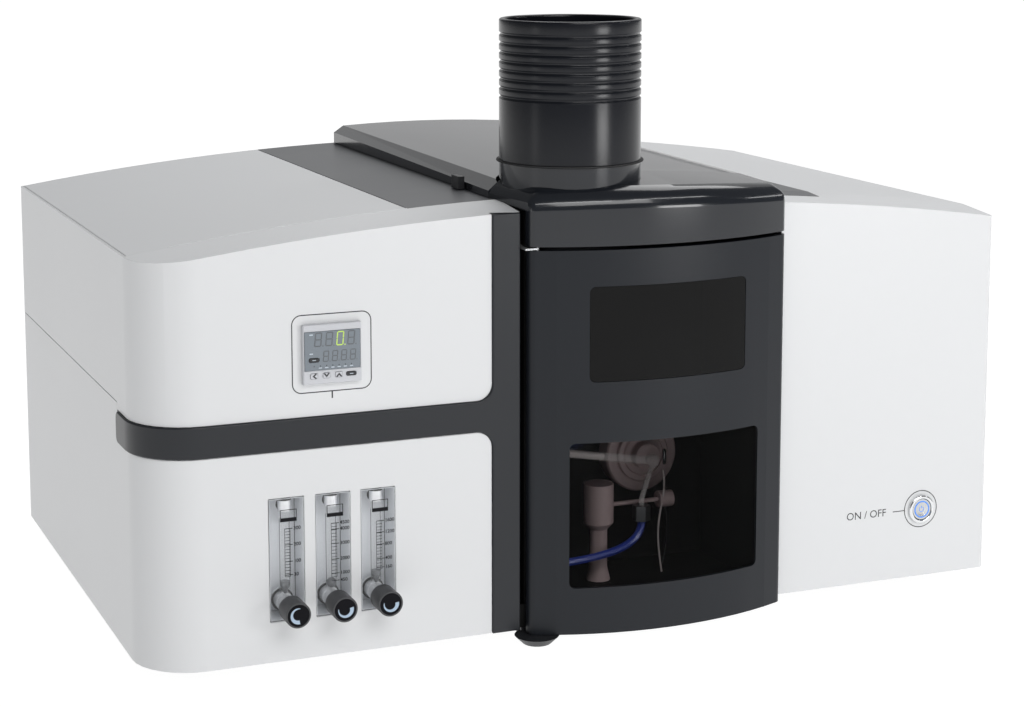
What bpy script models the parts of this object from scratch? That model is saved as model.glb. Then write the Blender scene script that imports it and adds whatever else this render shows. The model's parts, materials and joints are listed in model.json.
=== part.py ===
"""Bench-top atomic fluorescence spectrometer, modelled in metres with +Z up.

Sizes are given in the cabinet's own frame: X runs right from the left side, Y runs back from
the front sheet and Z runs up from the lower edge of the covers. The empty cabinet_datum places
that frame, so that the feet stand on Z = 0 and the footprint is centred on the origin.
"""
import math

import bmesh
import bpy
from mathutils import Matrix, Vector

PART_NAME = "atomic_fluorescence_spectrometer"

# Cabinet
CABINET_WIDTH = 0.780
CABINET_DEPTH = 0.500
SIDE_HEIGHT = 0.331
CROWN_RISE = 0.030
RETURN_DEPTH = 0.048
RETURN_FALL = 0.0045
CORNER_RADIUS = 0.050
RIGHT_CORNER_RADIUS = 0.004
SHEET = 0.002
CLEARANCE = 0.0003
OVERRUN = 0.010
FOOT_HEIGHT = 0.012
FOOT_RADIUS = 0.015
FOOT_TAPER = 0.002
FOOT_INSET = 0.055
TRAY_FLANGE = 0.020
TRAY_SETBACK = 0.0045

# Trim strip, a T of a level band and an upright
TRIM_LOW = 0.174
TRIM_HIGH = 0.200
TRIM_PROUD = 0.002
TRIM_LEFT = 0.294
TRIM_RIGHT = 0.3185
TRIM_TOP_RISE = 0.024
TRIM_FILLET = 0.014
TRIM_SIDE_REACH = 0.082
TRIM_END_RADIUS = 0.006
TRIM_CHAMFER = 0.0008
SIDE_SEAM = 0.2065

# Top panels
LEFT_PANEL_EDGE = 0.238
RIGHT_PANEL_MARGIN = 0.053
RIGHT_STRIP_DEPTH = 0.028
LAMP_HATCH_MARGIN = 0.011
LAMP_HATCH_FRONT = 0.130
LAMP_HATCH_BACK_INSET = 0.030

# Door and hood share one bulged plan
DOOR_LEFT = 0.324
DOOR_WIDTH = 0.239
DOOR_LOW = -0.003
DOOR_HEAD_DROP = 0.0072
DOOR_REAR = -0.0005
DOOR_WALL = 0.0035
DOOR_EDGE_RADIUS = 0.008
BULGE_RADIUS = 0.290
BULGE_SIDE_REACH = 0.00823
WINDOW_RADIUS = 0.005
LOWER_WINDOW_WIDTH = 0.1765
LOWER_WINDOW_LOW = 0.037
LOWER_WINDOW_HIGH = 0.1615
UPPER_WINDOW_WIDTH = 0.145
UPPER_WINDOW_DROP = 0.0303
WINDOW_GAP = 0.0515
PANE_RECESS = 0.0005
PANE_THICKNESS = 0.0025

# Door hinge
PIVOT_X = 0.331
PIVOT_Y = -0.008
PIN_RADIUS = 0.0015
PIN_REACH_DOOR = 0.008
PIN_REACH_HOOD = 0.013
LEAF_LEFT = 0.3195
LEAF_ARM = 0.0035
LEAF_HALF_WIDTH = 0.002
LEAF_REAR = 0.010
LEAF_THICKNESS = 0.0016
HUB_TOP_RADIUS = 0.019
HUB_LOW_RADIUS = 0.012
HUB_HEIGHT = 0.0067
HUB_PIN_DEPTH = 0.005
HUB_ARM_HALF_WIDTH = 0.009
HUB_ARM_REAR = 0.030

# Hood
HOOD_GAP = 0.0032
HOOD_HEIGHT = 0.0145
HOOD_RISE = 0.0015
HOOD_CROWN_OFFSET = 0.0985
HOOD_CROWN_RADIUS = 3.2
HOOD_ROLL_HEIGHT = 0.018
HOOD_ROLL_DEPTH = 0.014
HOOD_ROLL_ANGLE = 72
HOOD_ROLL_STEPS = 6
HOOD_DEPTH = 0.058
HOOD_FLARE = 0.010
HOOD_CHAMFER_WIDTH = 0.010
HOOD_CHAMFER_HEIGHT = 0.0086
HOOD_WALL = 0.003
HOOD_LINTEL = 0.004
HOOD_END_BLOCK = 0.016
BACK_GAP = 0.0003

# Rear lid
LID_REAR_INSET = 0.006
LID_RISE = 0.0028
LID_CHAMFER_LOSS = 0.0019
LID_TAPER = 0.0035
LID_WALL = 0.0025
ROD_REAR_INSET = 0.0005
ROD_RISE = 0.0056
ROD_RADIUS = 0.0025
ROD_INSET = 0.018
BARREL_RADIUS = 0.005
BARREL_LENGTH = 0.030
LUG_WIDTH = 0.006
LUG_THICKNESS = 0.0032
LUG_DROP = 0.0216
LUG_RIM = 0.001
CATCH_Y = 0.113
CATCH_LENGTH = 0.017
CATCH_DEPTH = 0.006
CATCH_HEIGHT = 0.0115

# Flue
FLUE_X = 0.383
FLUE_Y = 0.045
FLUE_RADIUS = 0.060
FLUE_WALL = 0.005
FLUE_SEAT = 0.008
COLLAR_HEIGHT = 0.0293
GASKET_RADIUS = 0.0625
GASKET_THICKNESS = 0.0013
PIPE_HEIGHT = 0.1184
RIM_BAND = 0.0126
RIM_ROUNDING = 0.002
GROOVE_COUNT = 8
GROOVE_PITCH = 0.0075
GROOVE_DEPTH = 0.0012
GROOVE_HALF_WIDTH = 0.0011

# Chamber behind the door
BULKHEAD_INSET = 0.0015
CHAMBER_RIGHT_INSET = 0.0035
SHIELD_Y = 0.140
SHIELD_HEAD_DROP = 0.021
DECK_Z = 0.228
DECK_REAR_INSET = 0.004

# Furnace front and its glassware
FURNACE_INSET = 0.073
FURNACE_Z = 0.106
FURNACE_RADIUS = 0.035
FURNACE_FRONT = 0.122
FURNACE_STEP = 0.003
FURNACE_RING_RADIUS = 0.022
FURNACE_BOSS_RADIUS = 0.012
FURNACE_BOSS_FRONT = 0.108
GLASS_RADIUS = 0.004
GLASS_ARM_RADIUS = 0.0025
GLASS_HUB_Y = 0.098
GLASS_HUB_DROP = 0.001
GLASS_HUB_RADIUS = 0.006
GLASS_ROD_GAP = 0.001
GLASS_ROD_RISE = 0.028
NUT_OFFSET = 0.020
NUT_Y = 0.080
NUT_LOW = 0.057
NUT_HEIGHT = 0.014
NUT_RADIUS = 0.0082
NUT_BORE_RADIUS = 0.003
GLASS_IN_NUT = 0.006
HOSE_RADIUS = 0.0035
HOSE_IN_NUT = 0.0003
HOSE_POINTS = 36
HOSE_END_Y = 0.060
HOSE_END_Z = 0.032
HOSE_DROP = 0.030
HOSE_RUN = 0.085
POST_OFFSET = 0.0555
POST_Y = 0.095
POST_HEAD_RADIUS = 0.0135
POST_HEAD_LOW = 0.055
POST_HEAD_HIGH = 0.091
POST_STEM_RADIUS = 0.008
POST_FOOT_RADIUS = 0.011
POST_FOOT_HEIGHT = 0.012
POST_NECK = 0.006
STUD_RADIUS = 0.002
KNOB_OFFSET = 0.003
KNOB_Z = 0.070
KNOB_RADIUS = 0.0075
KNOB_LENGTH = 0.014

# Flow meters
METER_CENTRES_SHARES = (0.1494, 0.1994, 0.2486)
METER_WIDTH = 0.029
METER_LOW = 0.034
METER_HIGH = 0.1355
METER_PROUD = 0.003
METER_DEPTH = 0.028
METER_CHAMFER = 0.0008
METER_BORE_Y = 0.007
METER_BORE_RADIUS = 0.0045
VALVE_HEIGHT = 0.013
BARREL_HOLE_RADIUS = 0.0078
RING_HOLE_RADIUS = 0.0093
RING_FRONT = 0.017
RING_BACK = 0.0203
STEM_NECK_RADIUS = 0.003
STEM_NECK_LENGTH = 0.017
METER_KNOB_RADIUS = 0.0105
METER_KNOB_LENGTH = 0.021
METER_KNOB_GAP = 0.006
METER_KNOB_ROUNDING = 0.0012
FLOAT_HEIGHT = 0.010
FLOAT_TAIL_RADIUS = 0.0012
FLOAT_HEAD_HEIGHT = 0.003

# Temperature controller
CONTROLLER_X = 0.155
CONTROLLER_Z = 0.2513
CONTROLLER_FACE = 0.0485
CONTROLLER_PROUD = 0.005
CONTROLLER_BODY = 0.0445
CONTROLLER_DEPTH = 0.080
CONTROLLER_CHAMFER = 0.0006
DISPLAY_WIDTH = 0.0464
DISPLAY_LOW = -0.0128
DISPLAY_HIGH = 0.0185
DISPLAY_THICKNESS = 0.0012
DISPLAY_PROUD = 0.0003
KEY_ROW = -0.0174
KEY_WIDTH = 0.0058
KEY_HEIGHT = 0.0042
KEY_PITCH = 0.0104
PILL_WIDTH = 0.0084
PILL_HEIGHT = 0.0031
MODE_KEY_X = -0.0154
MODE_KEY_Z = -0.0044
KEY_DEPTH = 0.0028
KEY_PROUD = 0.0006
KEY_TRAVEL = 0.0005
KEY_ROUNDING = 0.0011

# Power button
POWER_INSET = 0.069
POWER_Z = 0.0625
BEZEL_RADIUS = 0.013
BEZEL_FRONT = 0.0032
BEZEL_BARREL_RADIUS = 0.0108
BEZEL_BORE_RADIUS = 0.0097
BEZEL_DEPTH = 0.018
BEZEL_WALL = 0.0015
BUTTON_RADIUS = 0.0094
BUTTON_FRONT = 0.0024
BUTTON_LENGTH = 0.012
BUTTON_DISH = 0.0005

# Pieces inside and behind
LAMP_INSET = 0.1175
LAMP_RADIUS = 0.019
LAMP_BASE_RADIUS = 0.017
LAMP_BASE_LENGTH = 0.030
LAMP_LENGTH = 0.150
LAMP_BACK = 0.400
PMT_INSET = 0.0345
PMT_Y = 0.150
PMT_WIDTH = 0.050
PMT_DEPTH = 0.110
PMT_HEIGHT = 0.070
SUPPLY_LEFT_SHARE = 0.224
SUPPLY_WIDTH_SHARE = 0.508
SUPPLY_REAR_INSET = 0.040
SUPPLY_DEPTH = 0.150
SUPPLY_HEIGHT = 0.060
BOX_ROUNDING = 0.002
INLET_SHARE = 0.64
INLET_Z = 0.060
INLET_WIDTH = 0.030
INLET_HEIGHT = 0.024
INLET_DEPTH = 0.022
INLET_FLANGE_WIDTH = 0.048
INLET_FLANGE_HEIGHT = 0.030
INLET_FLANGE = 0.003
SOCKET_WIDTH = 0.0245
SOCKET_HEIGHT = 0.0165
SOCKET_DEPTH = 0.016
BLADE_WIDTH = 0.002
BLADE_HEIGHT = 0.004
BLADE_LENGTH = 0.013
BLADE_PITCH = 0.007
BLADE_RISE = 0.003
GAS_X = 0.120
GAS_Z = 0.060
GAS_NUT_RADIUS = 0.009
GAS_NUT_LENGTH = 0.005
GAS_NIPPLE_RADIUS = 0.004
GAS_BODY_RADIUS = 0.006
GAS_REACH = 0.010
GAS_BODY_DEPTH = 0.014
GAS_BORE_RADIUS = 0.002
VENT_COUNT = 9
VENT_PITCH = 0.010
VENT_WIDTH = 0.004
VENT_HEIGHT = 0.080
VENT_INSET = 0.160
VENT_Z = 0.160

WELD_DISTANCE = 0.00001
ARC_STEPS = 8
CROWN_STEPS = 24
BULGE_STEPS = 14
ROUND_STEPS = 24
FINE_STEPS = 40

DOOR_RIGHT = DOOR_LEFT + DOOR_WIDTH
DOOR_CENTRE_X = (DOOR_LEFT + DOOR_RIGHT) / 2
BULGE_CENTRE_Y = math.sqrt(BULGE_RADIUS ** 2 - (DOOR_WIDTH / 2) ** 2) - BULGE_SIDE_REACH
BULGE_REACH = BULGE_RADIUS - BULGE_CENTRE_Y
CABINET_FRONT = (BULGE_REACH - CABINET_DEPTH - GAS_REACH) / 2
CROWN_TOP = SIDE_HEIGHT + CROWN_RISE
TRIM_TOP = SIDE_HEIGHT + TRIM_TOP_RISE
DOOR_HIGH = SIDE_HEIGHT - DOOR_HEAD_DROP
HOOD_TOP = CROWN_TOP + HOOD_HEIGHT
UPPER_WINDOW_LOW = LOWER_WINDOW_HIGH + WINDOW_GAP
UPPER_WINDOW_HIGH = DOOR_HIGH - UPPER_WINDOW_DROP
SHIELD_TOP = CROWN_TOP - SHIELD_HEAD_DROP
LID_LEFT = DOOR_LEFT - HOOD_FLARE
LID_REAR = CABINET_DEPTH - LID_REAR_INSET
ROD_Y = CABINET_DEPTH - ROD_REAR_INSET
ROD_Z = CROWN_TOP + ROD_RISE
LUG_FRONT = CABINET_DEPTH + CLEARANCE
COLLAR_TOP = CROWN_TOP + COLLAR_HEIGHT
PIPE_TOP = COLLAR_TOP + GASKET_THICKNESS + 2 * CLEARANCE + PIPE_HEIGHT
RIGHT_PANEL_EDGE = DOOR_RIGHT + RIGHT_PANEL_MARGIN
LAMP_HATCH_LEFT = DOOR_LEFT + LAMP_HATCH_MARGIN
LAMP_HATCH_RIGHT = DOOR_RIGHT - LAMP_HATCH_MARGIN
LAMP_HATCH_BACK = CABINET_DEPTH - LAMP_HATCH_BACK_INSET
BULKHEAD_LEFT = DOOR_LEFT + BULKHEAD_INSET
BULKHEAD_RIGHT = DOOR_RIGHT - CHAMBER_RIGHT_INSET
DECK_REAR = CABINET_DEPTH - DECK_REAR_INSET
FURNACE_X = DOOR_RIGHT - FURNACE_INSET
GLASS_ROD_LEFT = BULKHEAD_LEFT + SHEET + GLASS_ROD_GAP
NUT_X = FURNACE_X - NUT_OFFSET
POST_X = FURNACE_X - POST_OFFSET
KNOB_X = FURNACE_X + KNOB_OFFSET
LAMP_X = BULKHEAD_LEFT + LAMP_INSET
PMT_X = BULKHEAD_LEFT + PMT_INSET
POWER_X = CABINET_WIDTH - POWER_INSET
BAY_LEFT = BULKHEAD_RIGHT + SHEET
BAY_WIDTH = CABINET_WIDTH - SHEET - BAY_LEFT
INLET_X = BAY_LEFT + INLET_SHARE * BAY_WIDTH
VENT_X = CABINET_WIDTH - VENT_INSET
SKY = CROWN_TOP + CABINET_DEPTH

WHITE_PAINT = ("white_paint", (0.76, 0.77, 0.79), 0.0, 0.42)
GREY_PAINT = ("grey_paint", (0.045, 0.048, 0.055), 0.0, 0.45)
DARK_GLOSS = ("dark_gloss", (0.030, 0.032, 0.037), 0.0, 0.22)
DARK_SATIN = ("dark_satin", (0.035, 0.037, 0.042), 0.0, 0.40)
BARE_STEEL = ("bare_steel", (0.55, 0.56, 0.57), 1.0, 0.35)
BRIGHT_CHROME = ("bright_chrome", (0.80, 0.80, 0.82), 1.0, 0.12)
BLACK_RUBBER = ("black_rubber", (0.012, 0.012, 0.013), 0.0, 0.80)
BLACK_PLASTIC = ("black_plastic", (0.020, 0.021, 0.024), 0.0, 0.50)
GREY_PLASTIC = ("grey_plastic", (0.42, 0.44, 0.47), 0.0, 0.45)
CLEAR_ACRYLIC = ("clear_acrylic", (0.86, 0.89, 0.91), 0.0, 0.08)
SMOKED_PANE = ("smoked_pane", (0.020, 0.021, 0.023), 0.0, 0.06)
CLEAR_GLASS = ("clear_glass", (0.80, 0.84, 0.86), 0.0, 0.05)
BLUE_HOSE = ("blue_hose", (0.012, 0.030, 0.190), 0.0, 0.40)
GREEN_DISPLAY = ("green_display", (0.13, 0.18, 0.21), 0.0, 0.30)
CERAMIC = ("ceramic", (0.33, 0.27, 0.27), 0.0, 0.55)


def clear_scene():
    for old in list(bpy.data.objects):
        bpy.data.objects.remove(old, do_unlink=True)


clear_scene()
parts = bpy.data.collections.new(PART_NAME)
cutters = bpy.data.collections.new("cutters")
bpy.context.scene.collection.children.link(parts)
bpy.context.scene.collection.children.link(cutters)

datum = bpy.data.objects.new("cabinet_datum", None)
datum.location = ((TRIM_PROUD - CABINET_WIDTH) / 2, CABINET_FRONT, FOOT_HEIGHT)
parts.objects.link(datum)

TURNS = {
    "X": (math.pi / 2, 0, math.pi / 2),
    "Y": (math.pi / 2, 0, 0),
    "Z": (0, 0, 0),
}
UNIT = {"X": Vector((1, 0, 0)), "Y": Vector((0, 1, 0)), "Z": Vector((0, 0, 1))}


def paint(obj, finish):
    """Give an object a Principled material of its own."""
    label, colour, metallic, roughness = finish
    material = bpy.data.materials.new(f"{obj.name}_{label}")
    material.use_nodes = True
    shader = material.node_tree.nodes["Principled BSDF"]
    shader.inputs["Base Color"].default_value = (*colour, 1)
    shader.inputs["Metallic"].default_value = metallic
    shader.inputs["Roughness"].default_value = roughness
    obj.data.materials.clear()
    obj.data.materials.append(material)


def add(name, mesh, finish=None, at=(0, 0, 0), turn=(0, 0, 0)):
    """Put a mesh in the cabinet's frame, as a piece with a finish or as a cutter without one."""
    obj = bpy.data.objects.new(name, mesh)
    obj.parent = datum
    obj.location = at
    obj.rotation_euler = turn
    if finish is None:
        cutters.objects.link(obj)
        obj.hide_render = True
        obj.display_type = "WIRE"
    else:
        parts.objects.link(obj)
        paint(obj, finish)
    return obj


def finish_mesh(name, bm, smooth=False):
    """Turn an edit mesh into mesh data with its faces pointing out."""
    bmesh.ops.recalc_face_normals(bm, faces=bm.faces)
    mesh = bpy.data.meshes.new(name)
    bm.to_mesh(mesh)
    bm.free()
    if smooth:
        mesh.shade_smooth()
        mesh.set_sharp_from_angle(angle=math.radians(35))
    return mesh


def box(name, low, high, finish=None, rounding=0):
    """A block between two corners, with an optional Bevel."""
    low, high = Vector(low), Vector(high)
    size = high - low
    bm = bmesh.new()
    bmesh.ops.create_cube(bm, size=1, matrix=Matrix.Diagonal((*size, 1)))
    obj = add(name, finish_mesh(name, bm), finish, (low + high) / 2)
    if rounding:
        bevel = obj.modifiers.new("rounding", "BEVEL")
        bevel.width = rounding
        bevel.segments = 2
    return obj


def cylinder(name, radius, start, end, centre, axis, finish=None, steps=ROUND_STEPS):
    """A round bar along X, Y or Z between two places, about a line through centre."""
    bm = bmesh.new()
    bmesh.ops.create_cone(
        bm, cap_ends=True, segments=steps, radius1=radius, radius2=radius, depth=end - start)
    at = Vector(centre)
    at["XYZ".index(axis)] = (start + end) / 2
    return add(name, finish_mesh(name, bm, smooth=True), finish, at, TURNS[axis])


def turned(name, profile, at, facing, finish=None, steps=ROUND_STEPS, closed=False):
    """Turn a profile of (radius, height) pairs, top to bottom, with a Screw modifier."""
    bm = bmesh.new()
    points = [bm.verts.new((radius, 0, height)) for radius, height in profile]
    for upper, lower in zip(points, points[1:]):
        bm.edges.new((upper, lower))
    if closed:
        bm.edges.new((points[-1], points[0]))
    mesh = bpy.data.meshes.new(name)
    bm.to_mesh(mesh)
    bm.free()
    turns = {"UP": (0, 0, 0), "FRONT": (math.pi / 2, 0, 0), "BACK": (-math.pi / 2, 0, 0),
             "LEFT": (0, -math.pi / 2, 0)}
    obj = add(name, mesh, finish, at, turns[facing])
    screw = obj.modifiers.new("turn", "SCREW")
    screw.steps = steps
    screw.render_steps = steps
    screw.use_merge_vertices = True
    screw.merge_threshold = WELD_DISTANCE
    screw.use_smooth_shade = True
    return obj


def prism(name, outlines, start, end, axis, finish=None, chamfer=0, smooth=False):
    """Extrude flat outlines along an axis; inner outlines are holes."""
    curve = bpy.data.curves.new(name, "CURVE")
    curve.dimensions = "2D"
    curve.fill_mode = "BOTH"
    curve.extrude = (end - start) / 2 - chamfer
    curve.bevel_depth = chamfer
    curve.bevel_resolution = 0
    curve.offset = -chamfer
    for outline in outlines:
        spline = curve.splines.new("POLY")
        spline.points.add(len(outline) - 1)
        for point, place in zip(spline.points, outline):
            point.co = (*place, 0, 1)
        spline.use_cyclic_u = True
    guide = bpy.data.objects.new(name, curve)
    guide.rotation_euler = TURNS[axis]
    guide.location = UNIT[axis] * (start + end) / 2
    mesh = curve_mesh(guide)
    if smooth:
        mesh.shade_smooth()
        mesh.set_sharp_from_angle(angle=math.radians(35))
    return add(name, mesh, finish)


def curve_mesh(guide):
    """Make a closed mesh, in the cabinet's frame, from a curve that is then removed."""
    cutters.objects.link(guide)
    bpy.context.view_layer.update()
    graph = bpy.context.evaluated_depsgraph_get()
    mesh = bpy.data.meshes.new_from_object(guide.evaluated_get(graph))
    place = guide.matrix_world.copy()
    bm = bmesh.new()
    bm.from_mesh(mesh)
    bmesh.ops.remove_doubles(bm, verts=bm.verts, dist=WELD_DISTANCE)
    bmesh.ops.transform(bm, matrix=place, verts=bm.verts)
    bmesh.ops.recalc_face_normals(bm, faces=bm.faces)
    bm.to_mesh(mesh)
    bm.free()
    bpy.data.objects.remove(guide, do_unlink=True)
    return mesh


def tube(name, points, radius, finish=None, resolution=2):
    """A round tube along a list of points, with closed ends."""
    curve = bpy.data.curves.new(name, "CURVE")
    curve.dimensions = "3D"
    curve.bevel_depth = radius
    curve.bevel_resolution = resolution
    curve.use_fill_caps = True
    spline = curve.splines.new("POLY")
    spline.points.add(len(points) - 1)
    for point, place in zip(spline.points, points):
        point.co = (*place, 1)
    mesh = curve_mesh(bpy.data.objects.new(name, curve))
    mesh.shade_smooth()
    mesh.set_sharp_from_angle(angle=math.radians(35))
    return add(name, mesh, finish)


def loft(name, rings, finish=None):
    """Skin a row of closed sections; each end is a ladder between a section's two halves."""
    bm = bmesh.new()
    rows = [[bm.verts.new(point) for point in ring] for ring in rings]
    count = len(rows[0])
    for lower, upper in zip(rows, rows[1:]):
        for i in range(count):
            j = (i + 1) % count
            bm.faces.new((lower[i], lower[j], upper[j], upper[i]))
    for row in (rows[0], rows[-1]):
        for i in range(count // 2 - 1):
            j = count - 1 - i
            bm.faces.new((row[i], row[i + 1], row[j - 1], row[j]))
    return add(name, finish_mesh(name, bm, smooth=True), finish)


def combine(target, other, operation="DIFFERENCE"):
    boolean = target.modifiers.new(other.name, "BOOLEAN")
    boolean.operation = operation
    boolean.solver = "EXACT"
    boolean.object = other


def set_origin(obj, point):
    """Move an object's origin to a point of the cabinet's frame; the shape stays in place."""
    shift = Vector(point) - obj.location
    obj.data.transform(Matrix.Translation(-shift))
    obj.location = point


def arc(x, y, radius, start, end, steps=ARC_STEPS):
    """Points along an arc, angles in degrees."""
    angles = [math.radians(start + (end - start) * i / steps) for i in range(steps + 1)]
    return [(x + radius * math.cos(a), y + radius * math.sin(a)) for a in angles]


def rounded_rectangle(left, low, right, high, radius, steps=4):
    return (arc(left + radius, low + radius, radius, 180, 270, steps)
            + arc(right - radius, low + radius, radius, 270, 360, steps)
            + arc(right - radius, high - radius, radius, 0, 90, steps)
            + arc(left + radius, high - radius, radius, 90, 180, steps))


def crown(x):
    """Height of the arched top at x."""
    half = CABINET_WIDTH / 2
    return SIDE_HEIGHT + CROWN_RISE * (1 - ((x - half) / half) ** 2)


def crowned_slab(name, left, right, front, back, low, high, finish=None):
    """A slab between two heights above the arched top, which falls towards the front edge."""
    steps = max(2, round(CROWN_STEPS * (right - left) / CABINET_WIDTH))
    places = [left + (right - left) * i / steps for i in range(steps + 1)]
    outline = [(x, crown(x) + low) for x in places]
    if high is None:
        outline += [(right, SKY), (left, SKY)]
    else:
        outline += [(x, crown(x) + high) for x in reversed(places)]
    slab = prism(name, [outline], front, back, "Y", finish)
    if front < RETURN_DEPTH:
        bm = bmesh.new()
        bm.from_mesh(slab.data)
        bmesh.ops.bisect_plane(
            bm, geom=bm.verts[:] + bm.edges[:] + bm.faces[:],
            plane_co=(0, RETURN_DEPTH, 0), plane_no=UNIT["Y"], dist=WELD_DISTANCE)
        for vert in bm.verts:
            if vert.co.y < RETURN_DEPTH - CLEARANCE:
                vert.co.z -= RETURN_FALL * (RETURN_DEPTH - vert.co.y) / RETURN_DEPTH
        bm.to_mesh(slab.data)
        bm.free()
    return slab


def bulge(side_inset, front_inset, edge_radius):
    """The door's and the hood's front in plan, from the left side round to the right side."""
    reach = BULGE_RADIUS - front_inset - edge_radius
    centre_x = DOOR_LEFT + side_inset + edge_radius
    centre_y = BULGE_CENTRE_Y - math.sqrt(reach ** 2 - (DOOR_CENTRE_X - centre_x) ** 2)
    lean = math.degrees(math.atan2(DOOR_CENTRE_X - centre_x, BULGE_CENTRE_Y - centre_y))
    left = arc(centre_x, centre_y, edge_radius, 180, 270 - lean, 5)
    front = arc(DOOR_CENTRE_X, BULGE_CENTRE_Y, BULGE_RADIUS - front_inset,
                270 - lean, 270 + lean, BULGE_STEPS)
    right = [(2 * DOOR_CENTRE_X - x, y) for x, y in reversed(left)]
    return left + front[1:-1] + right


def bulge_band(left, right, outer_inset, inner_inset):
    """A curved strip parallel to the bulged front, between two X places."""
    rows = []
    for inset, order in ((outer_inset, 1), (inner_inset, -1)):
        radius = BULGE_RADIUS - inset
        points = []
        for i in range(BULGE_STEPS + 1):
            x = left + (right - left) * i / BULGE_STEPS
            y = BULGE_CENTRE_Y - math.sqrt(radius ** 2 - (x - DOOR_CENTRE_X) ** 2)
            points.append((x, y))
        rows += points[::order]
    return rows


def trim_outline(grow, left, right):
    """The front view of the trim, an upright and a band with filleted inner corners."""
    fillet = TRIM_FILLET - grow
    edge = TRIM_LEFT - grow
    low = TRIM_LOW - grow
    high = TRIM_HIGH + grow
    top = TRIM_TOP + grow
    bottom = -OVERRUN if grow else 0
    outline = [(right, bottom), (right, top), (edge, top)]
    outline += arc(edge - fillet, high + fillet, fillet, 0, -90)
    if grow:
        outline += [(left, high), (left, low)]
    else:
        radius = TRIM_END_RADIUS
        outline += arc(left + radius, high - radius, radius, 90, 180, 4)
        outline += arc(left + radius, low + radius, radius, 180, 270, 4)
    outline += arc(edge - fillet, low - fillet, fillet, 90, 0)
    outline.append((edge, bottom))
    return outline


def wrap_corner(obj):
    """Bend the part of a flat strip left of the corner's start round the cabinet's corner."""
    quarter = CORNER_RADIUS * math.pi / 2
    bm = bmesh.new()
    bm.from_mesh(obj.data)
    for i in range(ARC_STEPS + 1):
        place = CORNER_RADIUS - quarter * i / ARC_STEPS
        bmesh.ops.bisect_plane(
            bm, geom=bm.verts[:] + bm.edges[:] + bm.faces[:],
            plane_co=(place, 0, 0), plane_no=UNIT["X"], dist=WELD_DISTANCE)
    for vert in bm.verts:
        travel = CORNER_RADIUS - vert.co.x
        if travel > 0:
            angle = min(travel / CORNER_RADIUS, math.pi / 2)
            radius = CORNER_RADIUS - vert.co.y
            vert.co.x = CORNER_RADIUS - radius * math.sin(angle)
            vert.co.y = CORNER_RADIUS - radius * math.cos(angle) + max(0, travel - quarter)
    bm.to_mesh(obj.data)
    bm.free()


# Covers and frame
def cover_plan(right, inset, rear):
    """Plan of the left covers, with the large round corner at the front."""
    radius = CORNER_RADIUS - inset
    return ([(inset, rear)] + arc(CORNER_RADIUS, CORNER_RADIUS, radius, 180, 270)
            + [(right, inset), (right, rear)])


def left_cover(name, low, high):
    """A sheet that runs from the upright trim round the corner and back along the side."""
    cover = prism(name, [cover_plan(TRIM_RIGHT, 0, CABINET_DEPTH)], low, high, "Z", WHITE_PAINT)
    hollow = prism(f"{name}_hollow",
                   [cover_plan(TRIM_RIGHT + OVERRUN, SHEET, CABINET_DEPTH + OVERRUN)],
                   low - OVERRUN, high + OVERRUN, "Z")
    return cover, hollow


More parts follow.
